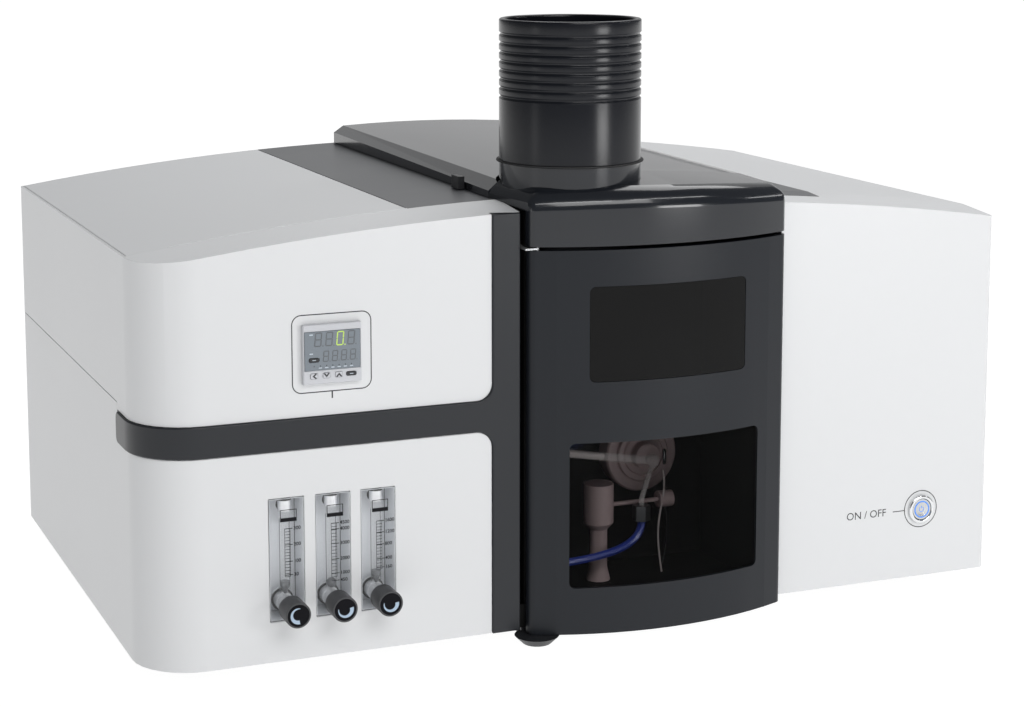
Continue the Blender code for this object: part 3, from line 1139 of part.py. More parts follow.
# Chamber contents
def build_chamber():
    ring = FURNACE_RING_RADIUS
    shield = -SHIELD_Y + CLEARANCE
    turned("furnace_flange",
           [(0, -FURNACE_BOSS_FRONT), (FURNACE_BOSS_RADIUS, -FURNACE_BOSS_FRONT),
            (FURNACE_BOSS_RADIUS, -FURNACE_FRONT), (ring, -FURNACE_FRONT),
            (ring, -FURNACE_FRONT - FURNACE_STEP), (FURNACE_RADIUS, -FURNACE_FRONT - FURNACE_STEP),
            (FURNACE_RADIUS, shield), (0, shield)],
           (FURNACE_X, 0, FURNACE_Z), "FRONT", CERAMIC, 32)

    hub = Vector((FURNACE_X, GLASS_HUB_Y, FURNACE_Z - GLASS_HUB_DROP))
    boss = Vector((FURNACE_X, FURNACE_BOSS_FRONT - CLEARANCE, FURNACE_Z - GLASS_HUB_DROP))
    nut_top = NUT_LOW + NUT_HEIGHT
    glass = tube("glass_tee", [boss, hub], GLASS_RADIUS, CLEAR_GLASS)
    left_end = Vector((GLASS_ROD_LEFT, GLASS_HUB_Y, FURNACE_Z + GLASS_ROD_RISE))
    combine(glass, tube("glass_left_arm", [hub, left_end], GLASS_RADIUS), "UNION")
    above = Vector((NUT_X, NUT_Y, nut_top + GLASS_IN_NUT))
    inside = Vector((NUT_X, NUT_Y, nut_top - GLASS_IN_NUT))
    combine(glass, tube("glass_lower_arm", [hub, above, inside], GLASS_ARM_RADIUS), "UNION")
    bm = bmesh.new()
    bmesh.ops.create_uvsphere(bm, u_segments=12, v_segments=8, radius=GLASS_HUB_RADIUS)
    knuckle = add("glass_knuckle", finish_mesh("glass_knuckle", bm, smooth=True), at=hub)
    combine(glass, knuckle, "UNION")

    nut = cylinder("hose_nut", NUT_RADIUS, NUT_LOW, nut_top, (NUT_X, NUT_Y, 0), "Z",
                   BARE_STEEL, steps=6)
    combine(nut, cylinder("nut_bore", NUT_BORE_RADIUS, NUT_LOW + GLASS_IN_NUT / 2,
                          nut_top + OVERRUN, (NUT_X, NUT_Y, 0), "Z", steps=16))

    start = Vector((NUT_X, NUT_Y, NUT_LOW - HOSE_IN_NUT))
    end = Vector((BULKHEAD_LEFT + SHEET + CLEARANCE, HOSE_END_Y, HOSE_END_Z))
    first = start - UNIT["Z"] * HOSE_DROP
    second = end + UNIT["X"] * HOSE_RUN
    route = []
    for i in range(HOSE_POINTS + 1):
        t = i / HOSE_POINTS
        route.append(start * (1 - t) ** 3 + first * 3 * t * (1 - t) ** 2
                     + second * 3 * t ** 2 * (1 - t) + end * t ** 3)
    tube("blue_hose", route, HOSE_RADIUS, BLUE_HOSE)

    floor = SHEET + CLEARANCE
    foot = floor + POST_FOOT_HEIGHT
    post = turned("height_post",
                  [(0, POST_HEAD_HIGH), (POST_HEAD_RADIUS, POST_HEAD_HIGH),
                   (POST_HEAD_RADIUS, POST_HEAD_LOW), (POST_STEM_RADIUS, POST_HEAD_LOW - POST_NECK),
                   (POST_STEM_RADIUS, foot), (POST_FOOT_RADIUS, floor), (0, floor)],
                  (POST_X, POST_Y, 0), "UP", CERAMIC)
    stud_end = KNOB_X + KNOB_LENGTH / 2
    stud_line = (0, POST_Y, KNOB_Z)
    combine(post, cylinder("stud", STUD_RADIUS, POST_X, stud_end, stud_line, "X", steps=12),
            "UNION")
    knob = cylinder("height_knob", KNOB_RADIUS, KNOB_X, KNOB_X + KNOB_LENGTH, stud_line, "X",
                    CERAMIC, steps=20)
    combine(knob, cylinder("knob_bore", STUD_RADIUS + CLEARANCE, KNOB_X - OVERRUN,
                           stud_end + CLEARANCE, stud_line, "X", steps=12))


# Inner units and rear fittings
def build_inner_units():
    deck = DECK_Z + SHEET + CLEARANCE
    lamp_z = deck + LAMP_RADIUS
    front = LAMP_BACK - LAMP_LENGTH
    turned("hollow_cathode_lamp",
           [(0, -front), (LAMP_RADIUS, -front), (LAMP_RADIUS, -LAMP_BACK + LAMP_BASE_LENGTH),
            (LAMP_BASE_RADIUS, -LAMP_BACK + LAMP_BASE_LENGTH), (LAMP_BASE_RADIUS, -LAMP_BACK),
            (0, -LAMP_BACK)], (LAMP_X, 0, lamp_z), "FRONT", CLEAR_GLASS)
    box("pmt_housing", (PMT_X, PMT_Y, deck),
        (PMT_X + PMT_WIDTH, PMT_Y + PMT_DEPTH, deck + PMT_HEIGHT), BLACK_PLASTIC, BOX_ROUNDING)
    floor = SHEET + CLEARANCE
    left = BAY_LEFT + SUPPLY_LEFT_SHARE * BAY_WIDTH
    rear = CABINET_DEPTH - SUPPLY_REAR_INSET
    box("power_supply", (left, rear - SUPPLY_DEPTH, floor),
        (left + SUPPLY_WIDTH_SHARE * BAY_WIDTH, rear, floor + SUPPLY_HEIGHT), BARE_STEEL,
        BOX_ROUNDING)


def build_rear_fittings():
    rear = CABINET_DEPTH + CLEARANCE
    wide, high = INLET_FLANGE_WIDTH / 2, INLET_FLANGE_HEIGHT / 2
    flange = rounded_rectangle(INLET_X - wide, INLET_Z - high, INLET_X + wide, INLET_Z + high,
                               BOX_ROUNDING)
    inlet = prism("mains_inlet", [flange], rear, rear + INLET_FLANGE, "Y", BLACK_PLASTIC)
    wide, high = INLET_WIDTH / 2, INLET_HEIGHT / 2
    combine(inlet, box("inlet_body", (INLET_X - wide, rear - INLET_DEPTH, INLET_Z - high),
                       (INLET_X + wide, rear + INLET_FLANGE / 2, INLET_Z + high)), "UNION")
    wide, high = SOCKET_WIDTH / 2, SOCKET_HEIGHT / 2
    socket_floor = rear + INLET_FLANGE - SOCKET_DEPTH
    combine(inlet, box("socket_recess", (INLET_X - wide, socket_floor, INLET_Z - high),
                       (INLET_X + wide, rear + OVERRUN, INLET_Z + high)))
    for i, name in enumerate(("live_blade", "earth_blade", "neutral_blade")):
        x = INLET_X + (i - 1) * BLADE_PITCH
        z = INLET_Z + (BLADE_RISE if i == 1 else -BLADE_RISE)
        wide, high = BLADE_WIDTH / 2, BLADE_HEIGHT / 2
        blade = box(name, (x - wide, socket_floor - BLADE_WIDTH, z - high),
                    (x + wide, socket_floor + BLADE_LENGTH, z + high))
        combine(inlet, blade, "UNION")
    nut = GAS_NUT_LENGTH
    gas = turned("gas_inlet",
                 [(GAS_NIPPLE_RADIUS, GAS_REACH), (GAS_NIPPLE_RADIUS, nut), (GAS_NUT_RADIUS, nut),
                  (GAS_NUT_RADIUS, CLEARANCE), (GAS_BODY_RADIUS, CLEARANCE),
                  (GAS_BODY_RADIUS, -GAS_BODY_DEPTH), (GAS_BORE_RADIUS, -GAS_BODY_DEPTH),
                  (GAS_BORE_RADIUS, GAS_REACH)],
                 (GAS_X, CABINET_DEPTH, GAS_Z), "BACK", BARE_STEEL, 24, True)
    return gas


build_covers()
build_trim()
build_top()
build_frame()
build_feet()
build_door()
build_hinge()
build_hood()
build_lid()
build_flue()
build_meters()
build_controller()
build_power_button()
build_chamber()
build_inner_units()
build_rear_fittings()
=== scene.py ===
import json
import math

import bmesh
import bpy
from mathutils import Matrix, Vector


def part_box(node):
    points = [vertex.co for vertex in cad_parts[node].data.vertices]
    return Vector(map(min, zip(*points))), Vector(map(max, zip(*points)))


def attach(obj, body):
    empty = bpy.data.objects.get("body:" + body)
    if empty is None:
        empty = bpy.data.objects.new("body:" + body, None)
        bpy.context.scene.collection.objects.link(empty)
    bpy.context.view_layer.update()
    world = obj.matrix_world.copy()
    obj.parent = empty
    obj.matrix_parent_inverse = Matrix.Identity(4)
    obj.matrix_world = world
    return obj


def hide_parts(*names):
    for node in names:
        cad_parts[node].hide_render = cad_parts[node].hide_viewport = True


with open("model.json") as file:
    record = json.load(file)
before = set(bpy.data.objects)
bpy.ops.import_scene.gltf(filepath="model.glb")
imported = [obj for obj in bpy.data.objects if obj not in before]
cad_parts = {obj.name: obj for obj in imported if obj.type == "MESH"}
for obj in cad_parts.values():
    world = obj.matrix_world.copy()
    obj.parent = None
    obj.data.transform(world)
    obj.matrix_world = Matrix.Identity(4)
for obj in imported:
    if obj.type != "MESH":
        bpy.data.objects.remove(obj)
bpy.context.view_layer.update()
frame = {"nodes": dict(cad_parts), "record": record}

# Places are in the cabinet's frame, in metres: X right from the left side, Y back,
# Z up from the covers' lower edge
cabinet = {"width": 0.780}
coverLow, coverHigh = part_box("right_cover")
datum = Vector((coverHigh.x - cabinet["width"], coverLow.y, coverLow.z))
mm = 0.001


def at(x, y, z):
    return datum + Vector((x, y, z))


# The photograph's viewing angle and lens
photo = {"width": 1024, "focalPixels": 2229, "yaw": 22.31, "pitch": 8.01,
         "place": (-0.374, -1.671, 0.620), "shiftY": -0.15, "sensor": 36, "clipEnd": 80}


def makeCamera():
    lens = bpy.data.cameras.new("photoCamera")
    lens.sensor_width = photo["sensor"]
    lens.lens = photo["focalPixels"] * photo["sensor"] / photo["width"]
    lens.shift_y = photo["shiftY"]
    lens.clip_end = photo["clipEnd"]
    lens.dof.use_dof = False
    camera = bpy.data.objects.new("photoCamera", lens)
    bpy.context.scene.collection.objects.link(camera)
    camera.location = at(*photo["place"])
    camera.rotation_euler = (math.radians(90 - photo["pitch"]), 0, math.radians(-photo["yaw"]))
    bpy.context.scene.camera = camera


studio = {
    "world": (0.95, 0.97, 1.0), "worldStrength": 0.14,
    "floor": (0.12, 0.12, 0.12), "floorSize": 60, "floorRoughness": 0.7, "floorGlow": 0.985,
    "lamps": [  # name, place, aim, size across, size high, watts
        ("frontSoftbox", (0.45, -2.35, 1.85), (0.40, 0.05, 0.20), 1.8, 0.9, 24.5),
        ("topSoftbox", (1.10, 1.00, 2.20), (0.40, 0.20, 0.35), 1.8, 1.2, 24),
        ("backSoftbox", (1.85, 3.40, 2.35), (0.60, 0.30, 0.35), 4.6, 4.4, 25),
        ("flueStripRight", (1.12, -1.26, 0.37), (0.383, 0.045, 0.37), 0.45, 0.26, 3.6),
        ("flueStripLeft", (-1.20, -0.22, 0.37), (0.383, 0.045, 0.37), 0.30, 0.26, 0.25),
        ("hoodStripLeft", (0.10, -1.80, 1.96), (0.42, -0.02, 0.36), 1.1, 0.10, 4),
        ("hoodStripFront", (1.55, -1.60, 2.05), (0.44, -0.03, 0.36), 1.4, 0.10, 5),
        ("hoodStripRight", (2.30, -0.35, 1.15), (0.50, -0.02, 0.36), 1.0, 0.10, 2),
    ],
}


def makeStudio():
    world = bpy.data.worlds.new("studioWorld")
    world.use_nodes = True
    sky = world.node_tree.nodes["Background"]
    sky.inputs["Color"].default_value = (*studio["world"], 1)
    sky.inputs["Strength"].default_value = studio["worldStrength"]
    bpy.context.scene.world = world
    bpy.context.scene.view_settings.view_transform = "Standard"
    for name, place, aim, across, high, watts in studio["lamps"]:
        light = bpy.data.lights.new(name, "AREA")
        light.shape = "RECTANGLE"
        light.size = across
        light.size_y = high
        light.energy = watts
        lamp = bpy.data.objects.new(name, light)
        lamp.visible_camera = False
        bpy.context.scene.collection.objects.link(lamp)
        lamp.location = at(*place)
        lamp.rotation_euler = (at(*aim) - at(*place)).to_track_quat("-Z", "Y").to_euler()
    bpy.ops.mesh.primitive_grid_add(x_subdivisions=2, y_subdivisions=2, size=studio["floorSize"])
    floor = bpy.context.object
    floor.name = "studioFloor"
    paper = bpy.data.materials.new("palePaper")
    paper.use_nodes = True
    shader = paper.node_tree.nodes["Principled BSDF"]
    shader.inputs["Base Color"].default_value = (*studio["floor"], 1)
    shader.inputs["Roughness"].default_value = studio["floorRoughness"]
    shader.inputs["Emission Color"].default_value = (1, 1, 1, 1)
    shader.inputs["Emission Strength"].default_value = studio["floorGlow"]
    floor.data.materials.append(paper)


makeCamera()
makeStudio()
print("camera, lights and floor are set")


# Shader groups, each built once and placed in every material that needs it
def newGroup(name, sockets):
    tree = bpy.data.node_groups.new(name, "ShaderNodeTree")
    for label, way, kind, value in sockets:
        socket = tree.interface.new_socket(label, in_out=way, socket_type=kind)
        if value is not None:
            socket.default_value = value
    given = tree.nodes.new("NodeGroupInput").outputs
    wanted = tree.nodes.new("NodeGroupOutput").inputs
    return tree, given, wanted


def calculate(tree, operation, first, second):
    node = tree.nodes.new("ShaderNodeMath")
    node.operation = operation
    for socket, value in zip(node.inputs, (first, second)):
        if isinstance(value, (int, float)):
            socket.default_value = value
        else:
            tree.links.new(value, socket)
    return node.outputs[0]


def noise(tree, scale, detail, vector):
    node = tree.nodes.new("ShaderNodeTexNoise")
    node.inputs["Detail"].default_value = detail
    tree.links.new(scale, node.inputs["Scale"])
    tree.links.new(vector, node.inputs["Vector"])
    return node.outputs["Fac"]


def stretched(tree, vector, along):
    # the same place measured in coarser steps along one direction, so that a noise becomes lines
    node = tree.nodes.new("ShaderNodeVectorMath")
    node.operation = "MULTIPLY"
    tree.links.new(vector, node.inputs[0])
    tree.links.new(along, node.inputs[1])
    return node.outputs["Vector"]


def makeFinishMottle():
    tree, given, wanted = newGroup("finishMottle", [
        ("Place", "INPUT", "NodeSocketVector", None),
        ("Clean Color", "INPUT", "NodeSocketColor", (0.5, 0.5, 0.5, 1)),
        ("Handled Color", "INPUT", "NodeSocketColor", (0.4, 0.4, 0.4, 1)),
        ("Scale", "INPUT", "NodeSocketFloat", 9.0),
        ("Amount", "INPUT", "NodeSocketFloat", 0.3),
        ("Roughness", "INPUT", "NodeSocketFloat", 0.4),
        ("Spread", "INPUT", "NodeSocketFloat", 0.1),
        ("Color", "OUTPUT", "NodeSocketColor", None),
        ("Roughness", "OUTPUT", "NodeSocketFloat", None)])
    broad = noise(tree, given["Scale"], 4, given["Place"])
    fine = noise(tree, calculate(tree, "MULTIPLY", given["Scale"], 17.0), 2, given["Place"])
    patches = calculate(tree, "MULTIPLY", broad, fine)
    mix = tree.nodes.new("ShaderNodeMix")
    mix.data_type = "RGBA"
    tree.links.new(calculate(tree, "MULTIPLY", patches, given["Amount"]), mix.inputs["Factor"])
    tree.links.new(given["Clean Color"], mix.inputs[6])
    tree.links.new(given["Handled Color"], mix.inputs[7])
    tree.links.new(mix.outputs[2], wanted["Color"])
    swing = calculate(tree, "MULTIPLY", calculate(tree, "SUBTRACT", broad, 0.5), given["Spread"])
    tree.links.new(calculate(tree, "ADD", given["Roughness"], swing), wanted["Roughness"])
    return tree


def makePowderPeel():
    tree, given, wanted = newGroup("powderPeel", [
        ("Place", "INPUT", "NodeSocketVector", None),
        ("Scale", "INPUT", "NodeSocketFloat", 700.0),
        ("Grain", "INPUT", "NodeSocketFloat", 0.35),
        ("Height", "OUTPUT", "NodeSocketFloat", None)])
    peel = noise(tree, given["Scale"], 1, given["Place"])
    grit = noise(tree, calculate(tree, "MULTIPLY", given["Scale"], 3.0), 2, given["Place"])
    height = calculate(tree, "ADD", peel, calculate(tree, "MULTIPLY", grit, given["Grain"]))
    tree.links.new(height, wanted["Height"])
    return tree


def makeBrushLines():
    tree, given, wanted = newGroup("brushLines", [
        ("Place", "INPUT", "NodeSocketVector", None),
        ("Stretch", "INPUT", "NodeSocketVector", (1, 1, 0.03)),
        ("Scale", "INPUT", "NodeSocketFloat", 2500.0),
        ("Depth", "INPUT", "NodeSocketFloat", 1.0),
        ("Height", "OUTPUT", "NodeSocketFloat", None)])
    lines = noise(tree, given["Scale"], 2, stretched(tree, given["Place"], given["Stretch"]))
    tree.links.new(calculate(tree, "MULTIPLY", lines, given["Depth"]), wanted["Height"])
    return tree


groups = {"mottle": makeFinishMottle(), "peel": makePowderPeel(), "brush": makeBrushLines()}

# Each finish: its record slot, colours, roughness, surface and the shader's own plain values.
# Either "peel" gives the fineness of a moulded or sprayed surface, or "brush" the lines' stretch
surfaceDepth = 0.4 * mm
finishes = {
    "whiteEnamel": {
        "slot": "white_paint", "color": (0.740, 0.748, 0.758), "handled": (0.66, 0.67, 0.68),
        "roughness": 0.38, "spread": 0.06, "scale": 5, "amount": 0.2, "peel": 620, "bump": 0.035,
        "coat": 0.05, "coatRoughness": 0.25, "specular": 0.4},
    "panelGrey": {
        "slot": "grey_paint", "color": (0.096, 0.099, 0.106), "handled": (0.074, 0.076, 0.082),
        "roughness": 0.36, "spread": 0.08, "scale": 7, "amount": 0.5, "peel": 700, "bump": 0.05},
    "trimPaint": {
        "slot": "grey_paint", "color": (0.020, 0.022, 0.026), "handled": (0.015, 0.017, 0.020),
        "roughness": 0.34, "spread": 0.08, "scale": 11, "amount": 0.5, "peel": 800, "bump": 0.04,
        "specular": 0.36},
    "rearPaint": {
        "slot": "grey_paint", "color": (0.30, 0.31, 0.32), "handled": (0.24, 0.25, 0.26),
        "roughness": 0.48, "spread": 0.1, "scale": 6, "amount": 0.4, "peel": 600, "bump": 0.06},
    "hoodGloss": {
        "slot": "dark_gloss", "color": (0.011, 0.013, 0.017), "handled": (0.018, 0.020, 0.025),
        "roughness": 0.18, "spread": 0.05, "scale": 9, "amount": 0.5, "peel": 500, "bump": 0.02,
        "coat": 0.5, "coatRoughness": 0.07, "specular": 0.30},
    "doorSatin": {
        "slot": "dark_satin", "color": (0.010, 0.012, 0.016), "handled": (0.014, 0.016, 0.021),
        "roughness": 0.38, "spread": 0.08, "scale": 8, "amount": 0.5, "peel": 900, "bump": 0.05,
        "specular": 0.30},
    "flueSatin": {
        "slot": "dark_satin", "color": (0.005, 0.006, 0.009), "handled": (0.009, 0.010, 0.014),
        "roughness": 0.23, "spread": 0.06, "scale": 14, "amount": 0.5, "peel": 1200, "bump": 0.04,
        "specular": 0.34},
    "blackRubber": {
        "slot": "black_rubber", "color": (0.012, 0.012, 0.013), "handled": (0.035, 0.035, 0.036),
        "roughness": 0.72, "spread": 0.16, "scale": 60, "amount": 0.6, "peel": 1800, "bump": 0.2},
    "blackPlastic": {
        "slot": "black_plastic", "color": (0.018, 0.019, 0.022), "handled": (0.035, 0.036, 0.04),
        "roughness": 0.45, "spread": 0.12, "scale": 40, "amount": 0.5, "peel": 2600, "bump": 0.12},
    "knobPlastic": {
        "slot": "black_plastic", "color": (0.055, 0.056, 0.060), "handled": (0.08, 0.08, 0.085),
        "roughness": 0.50, "spread": 0.12, "scale": 60, "amount": 0.5, "peel": 2600, "bump": 0.15},
    "knobFace": {
        "slot": "black_plastic", "color": (0.004, 0.004, 0.006), "handled": (0.008, 0.008, 0.010),
        "roughness": 0.22, "spread": 0.06, "scale": 80, "amount": 0.4, "peel": 3000, "bump": 0.04,
        "specular": 0.10},
    "knobMark": {
        "slot": "grey_plastic", "color": (0.42, 0.53, 0.66), "handled": (0.34, 0.44, 0.56),
        "roughness": 0.45, "spread": 0.05, "scale": 120, "amount": 0.4, "peel": 3000,
        "bump": 0.04},
    "housingGrey": {
        "slot": "grey_plastic", "color": (0.58, 0.59, 0.62), "handled": (0.50, 0.51, 0.54),
        "roughness": 0.42, "spread": 0.08, "scale": 40, "amount": 0.4, "peel": 2400, "bump": 0.08},
    "displayGlass": {
        "slot": "display_pane", "color": (0.185, 0.215, 0.245), "handled": (0.16, 0.19, 0.22),
        "roughness": 0.18, "spread": 0.04, "scale": 60, "amount": 0.5, "peel": 1500, "bump": 0.01,
        "coat": 0.5, "coatRoughness": 0.06},
    "segmentOff": {
        "slot": "display_pane", "color": (0.105, 0.112, 0.120), "handled": (0.09, 0.10, 0.105),
        "roughness": 0.35, "spread": 0.04, "scale": 90, "amount": 0.5, "peel": 1500, "bump": 0.01},
    "segmentLit": {
        "slot": "display_pane", "color": (0.45, 0.62, 0.10), "handled": (0.40, 0.58, 0.09),
        "roughness": 0.40, "spread": 0.04, "scale": 90, "amount": 0.5, "peel": 1500, "bump": 0.01,
        "glow": (0.62, 0.90, 0.16), "glowStrength": 0.22},
    "panelInk": {
        "slot": "black_plastic", "color": (0.030, 0.031, 0.034), "handled": (0.05, 0.05, 0.055),
        "roughness": 0.55, "spread": 0.08, "scale": 90, "amount": 0.5, "peel": 2200, "bump": 0.03},
    "paleInk": {
        "slot": "grey_plastic", "color": (0.50, 0.56, 0.62), "handled": (0.42, 0.48, 0.54),
        "roughness": 0.5, "spread": 0.05, "scale": 120, "amount": 0.5, "peel": 2200, "bump": 0.03},
    "clearAcrylic": {
        "slot": "clear_acrylic", "color": (0.93, 0.95, 0.965), "handled": (0.88, 0.90, 0.92),
        "roughness": 0.06, "spread": 0.03, "scale": 30, "amount": 0.4, "peel": 500, "bump": 0.01,
        "alpha": 0.07},
    "meterBacking": {
        "slot": "bare_steel", "color": (0.84, 0.86, 0.89), "handled": (0.72, 0.74, 0.77),
        "roughness": 0.42, "spread": 0.1, "scale": 20, "amount": 0.5, "brush": (1, 1, 0.02),
        "bump": 0.08, "metallic": 0.1},
    "valveSteel": {
        "slot": "bare_steel", "color": (0.86, 0.87, 0.89), "handled": (0.74, 0.75, 0.77),
        "roughness": 0.24, "spread": 0.08, "scale": 60, "amount": 0.4, "brush": (1, 0.03, 1),
        "bump": 0.03, "metallic": 0.45},
    "meterInk": {
        "slot": "black_plastic", "color": (0.006, 0.006, 0.008), "handled": (0.012, 0.012, 0.014),
        "roughness": 0.5, "spread": 0.06, "scale": 90, "amount": 0.4, "peel": 2200, "bump": 0.02,
        "specular": 0.15},
    "smokedPane": {
        "slot": "smoked_pane", "color": (0.006, 0.006, 0.006), "handled": (0.010, 0.010, 0.010),
        "roughness": 0.07, "spread": 0.03, "scale": 12, "amount": 0.5, "peel": 300, "bump": 0.006,
        "alpha": 0.16, "specular": 0.06},
    "darkPane": {
        "slot": "smoked_pane", "color": (0.008, 0.008, 0.008), "handled": (0.012, 0.012, 0.012),
        "roughness": 0.08, "spread": 0.03, "scale": 12, "amount": 0.5, "peel": 300, "bump": 0.006,
        "alpha": 0.86, "specular": 0.12},
    "clearGlass": {
        "slot": "clear_glass", "color": (0.96, 0.92, 0.91), "handled": (0.92, 0.88, 0.87),
        "roughness": 0.04, "spread": 0.02, "scale": 40, "amount": 0.4, "peel": 400, "bump": 0.01,
        "alpha": 0.24},
    "brushedSteel": {
        "slot": "bare_steel", "color": (0.60, 0.61, 0.62), "handled": (0.45, 0.46, 0.47),
        "roughness": 0.26, "spread": 0.1, "scale": 30, "amount": 0.5, "brush": (0.03, 1, 1),
        "bump": 0.06, "metallic": 1.0},
    "darkSteel": {
        "slot": "bare_steel", "color": (0.16, 0.17, 0.18), "handled": (0.10, 0.10, 0.11),
        "roughness": 0.32, "spread": 0.1, "scale": 60, "amount": 0.5, "peel": 1500, "bump": 0.04,
        "metallic": 0.9},
    "zincPlate": {
        "slot": "bare_steel", "color": (0.52, 0.53, 0.54), "handled": (0.38, 0.39, 0.40),
        "roughness": 0.38, "spread": 0.16, "scale": 45, "amount": 0.9, "peel": 260, "bump": 0.03,
        "metallic": 0.85},
    "brightChrome": {
        "slot": "bright_chrome", "color": (0.78, 0.79, 0.80), "handled": (0.68, 0.69, 0.70),
        "roughness": 0.10, "spread": 0.05, "scale": 40, "amount": 0.4, "peel": 600, "bump": 0.01,
        "metallic": 1.0},
    "darkSheet": {
        "slot": "dark_sheet", "color": (0.008, 0.008, 0.008), "handled": (0.012, 0.012, 0.012),
        "roughness": 0.62, "spread": 0.1, "scale": 12, "amount": 0.6, "peel": 900, "bump": 0.08,
        "specular": 0.2},
    "lensCoating": {
        "slot": "black_plastic", "color": (0.045, 0.055, 0.110), "handled": (0.06, 0.07, 0.13),
        "roughness": 0.12, "spread": 0.05, "scale": 50, "amount": 0.5, "peel": 500, "bump": 0.01,
        "coat": 1.0, "coatRoughness": 0.05},
    "flangeCeramic": {
        "slot": "ceramic", "color": (0.560, 0.430, 0.435), "handled": (0.44, 0.34, 0.345),
        "roughness": 0.48, "spread": 0.12, "scale": 35, "amount": 0.6, "peel": 900, "bump": 0.06},
    "postMoulding": {
        "slot": "ceramic", "color": (0.480, 0.370, 0.370), "handled": (0.38, 0.29, 0.295),
        "roughness": 0.42, "spread": 0.12, "scale": 30, "amount": 0.6, "peel": 900, "bump": 0.05},
    "hosePlastic": {
        "slot": "hose_plastic", "color": (0.020, 0.045, 0.330), "handled": (0.03, 0.06, 0.36),
        "roughness": 0.32, "spread": 0.08, "scale": 50, "amount": 0.5, "peel": 800, "bump": 0.03,
        "coat": 0.3, "coatRoughness": 0.2},
    "capillaryPale": {
        "slot": "clear_glass", "color": (0.62, 0.55, 0.54), "handled": (0.50, 0.44, 0.43),
        "roughness": 0.25, "spread": 0.06, "scale": 80, "amount": 0.5, "peel": 900, "bump": 0.02},
    "buttonBlue": {
        "slot": "bare_steel", "color": (0.06, 0.20, 0.62), "handled": (0.05, 0.17, 0.52),
        "roughness": 0.30, "spread": 0.05, "scale": 90, "amount": 0.4, "peel": 2000, "bump": 0.02,
        "glow": (0.10, 0.30, 0.90), "glowStrength": 0.35},
}


def makeFinish(name, spec):
    material = bpy.data.materials.new(name)
    material.use_nodes = True
    tree = material.node_tree
    shader = tree.nodes["Principled BSDF"]
    place = tree.nodes.new("ShaderNodeTexCoord").outputs["Object"]
    mottle = tree.nodes.new("ShaderNodeGroup")
    mottle.node_tree = groups["mottle"]
    mottle.inputs["Clean Color"].default_value = (*spec["color"], 1)
    mottle.inputs["Handled Color"].default_value = (*spec["handled"], 1)
    mottle.inputs["Scale"].default_value = spec["scale"]
    mottle.inputs["Amount"].default_value = spec["amount"]
    mottle.inputs["Roughness"].default_value = spec["roughness"]
    mottle.inputs["Spread"].default_value = spec["spread"]
    tree.links.new(place, mottle.inputs["Place"])
    tree.links.new(mottle.outputs["Color"], shader.inputs["Base Color"])
    tree.links.new(mottle.outputs["Roughness"], shader.inputs["Roughness"])
    surface = tree.nodes.new("ShaderNodeGroup")
    if "brush" in spec:
        surface.node_tree = groups["brush"]
        surface.inputs["Stretch"].default_value = spec["brush"]
    else:
        surface.node_tree = groups["peel"]
        surface.inputs["Scale"].default_value = spec["peel"]
    tree.links.new(place, surface.inputs["Place"])
    bump = tree.nodes.new("ShaderNodeBump")
    bump.inputs["Strength"].default_value = spec["bump"]
    bump.inputs["Distance"].default_value = surfaceDepth
    tree.links.new(surface.outputs["Height"], bump.inputs["Height"])
    tree.links.new(bump.outputs["Normal"], shader.inputs["Normal"])
    shader.inputs["Metallic"].default_value = spec.get("metallic", 0)
    shader.inputs["Specular IOR Level"].default_value = spec.get("specular", 0.5)
    shader.inputs["Coat Weight"].default_value = spec.get("coat", 0)
    shader.inputs["Coat Roughness"].default_value = spec.get("coatRoughness", 0.1)
    shader.inputs["Alpha"].default_value = spec.get("alpha", 1)
    if "glow" in spec:
        shader.inputs["Emission Color"].default_value = (*spec["glow"], 1)
        shader.inputs["Emission Strength"].default_value = spec["glowStrength"]
    return material


materials = {name: makeFinish(name, spec) for name, spec in finishes.items()}
print(len(materials), "finishes are made")


# Making and placing pieces. Every mesh is made in the world's own place, so the finishes
# keep one scale
facings = {"up": Matrix.Identity(4), "front": Matrix.Rotation(math.radians(90), 4, "X")}
bodyOfNode = {node: body for body, given in frame["record"]["behaviour"]["bodies"].items()
              for node in (given["nodes"] if isinstance(given, dict) else given)}


def shaded(mesh, sharpAngle=32):
    mesh.shade_smooth()
    mesh.set_sharp_from_angle(angle=math.radians(sharpAngle))
    return mesh


def meshFrom(name, bm, place=Matrix.Identity(4), sharpAngle=32):
    bmesh.ops.recalc_face_normals(bm, faces=bm.faces)
    bmesh.ops.transform(bm, matrix=place, verts=bm.verts)
    mesh = bpy.data.meshes.new(name)
    bm.to_mesh(mesh)
    bm.free()
    return shaded(mesh, sharpAngle)


def addPiece(name, mesh, finish, body="cabinet", standsFor=()):
    piece = bpy.data.objects.new(name, mesh)
    bpy.context.scene.collection.objects.link(piece)
    mesh.materials.clear()
    mesh.materials.append(materials[finish])
    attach(piece, body)
    if standsFor:
        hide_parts(*standsFor)
    return piece


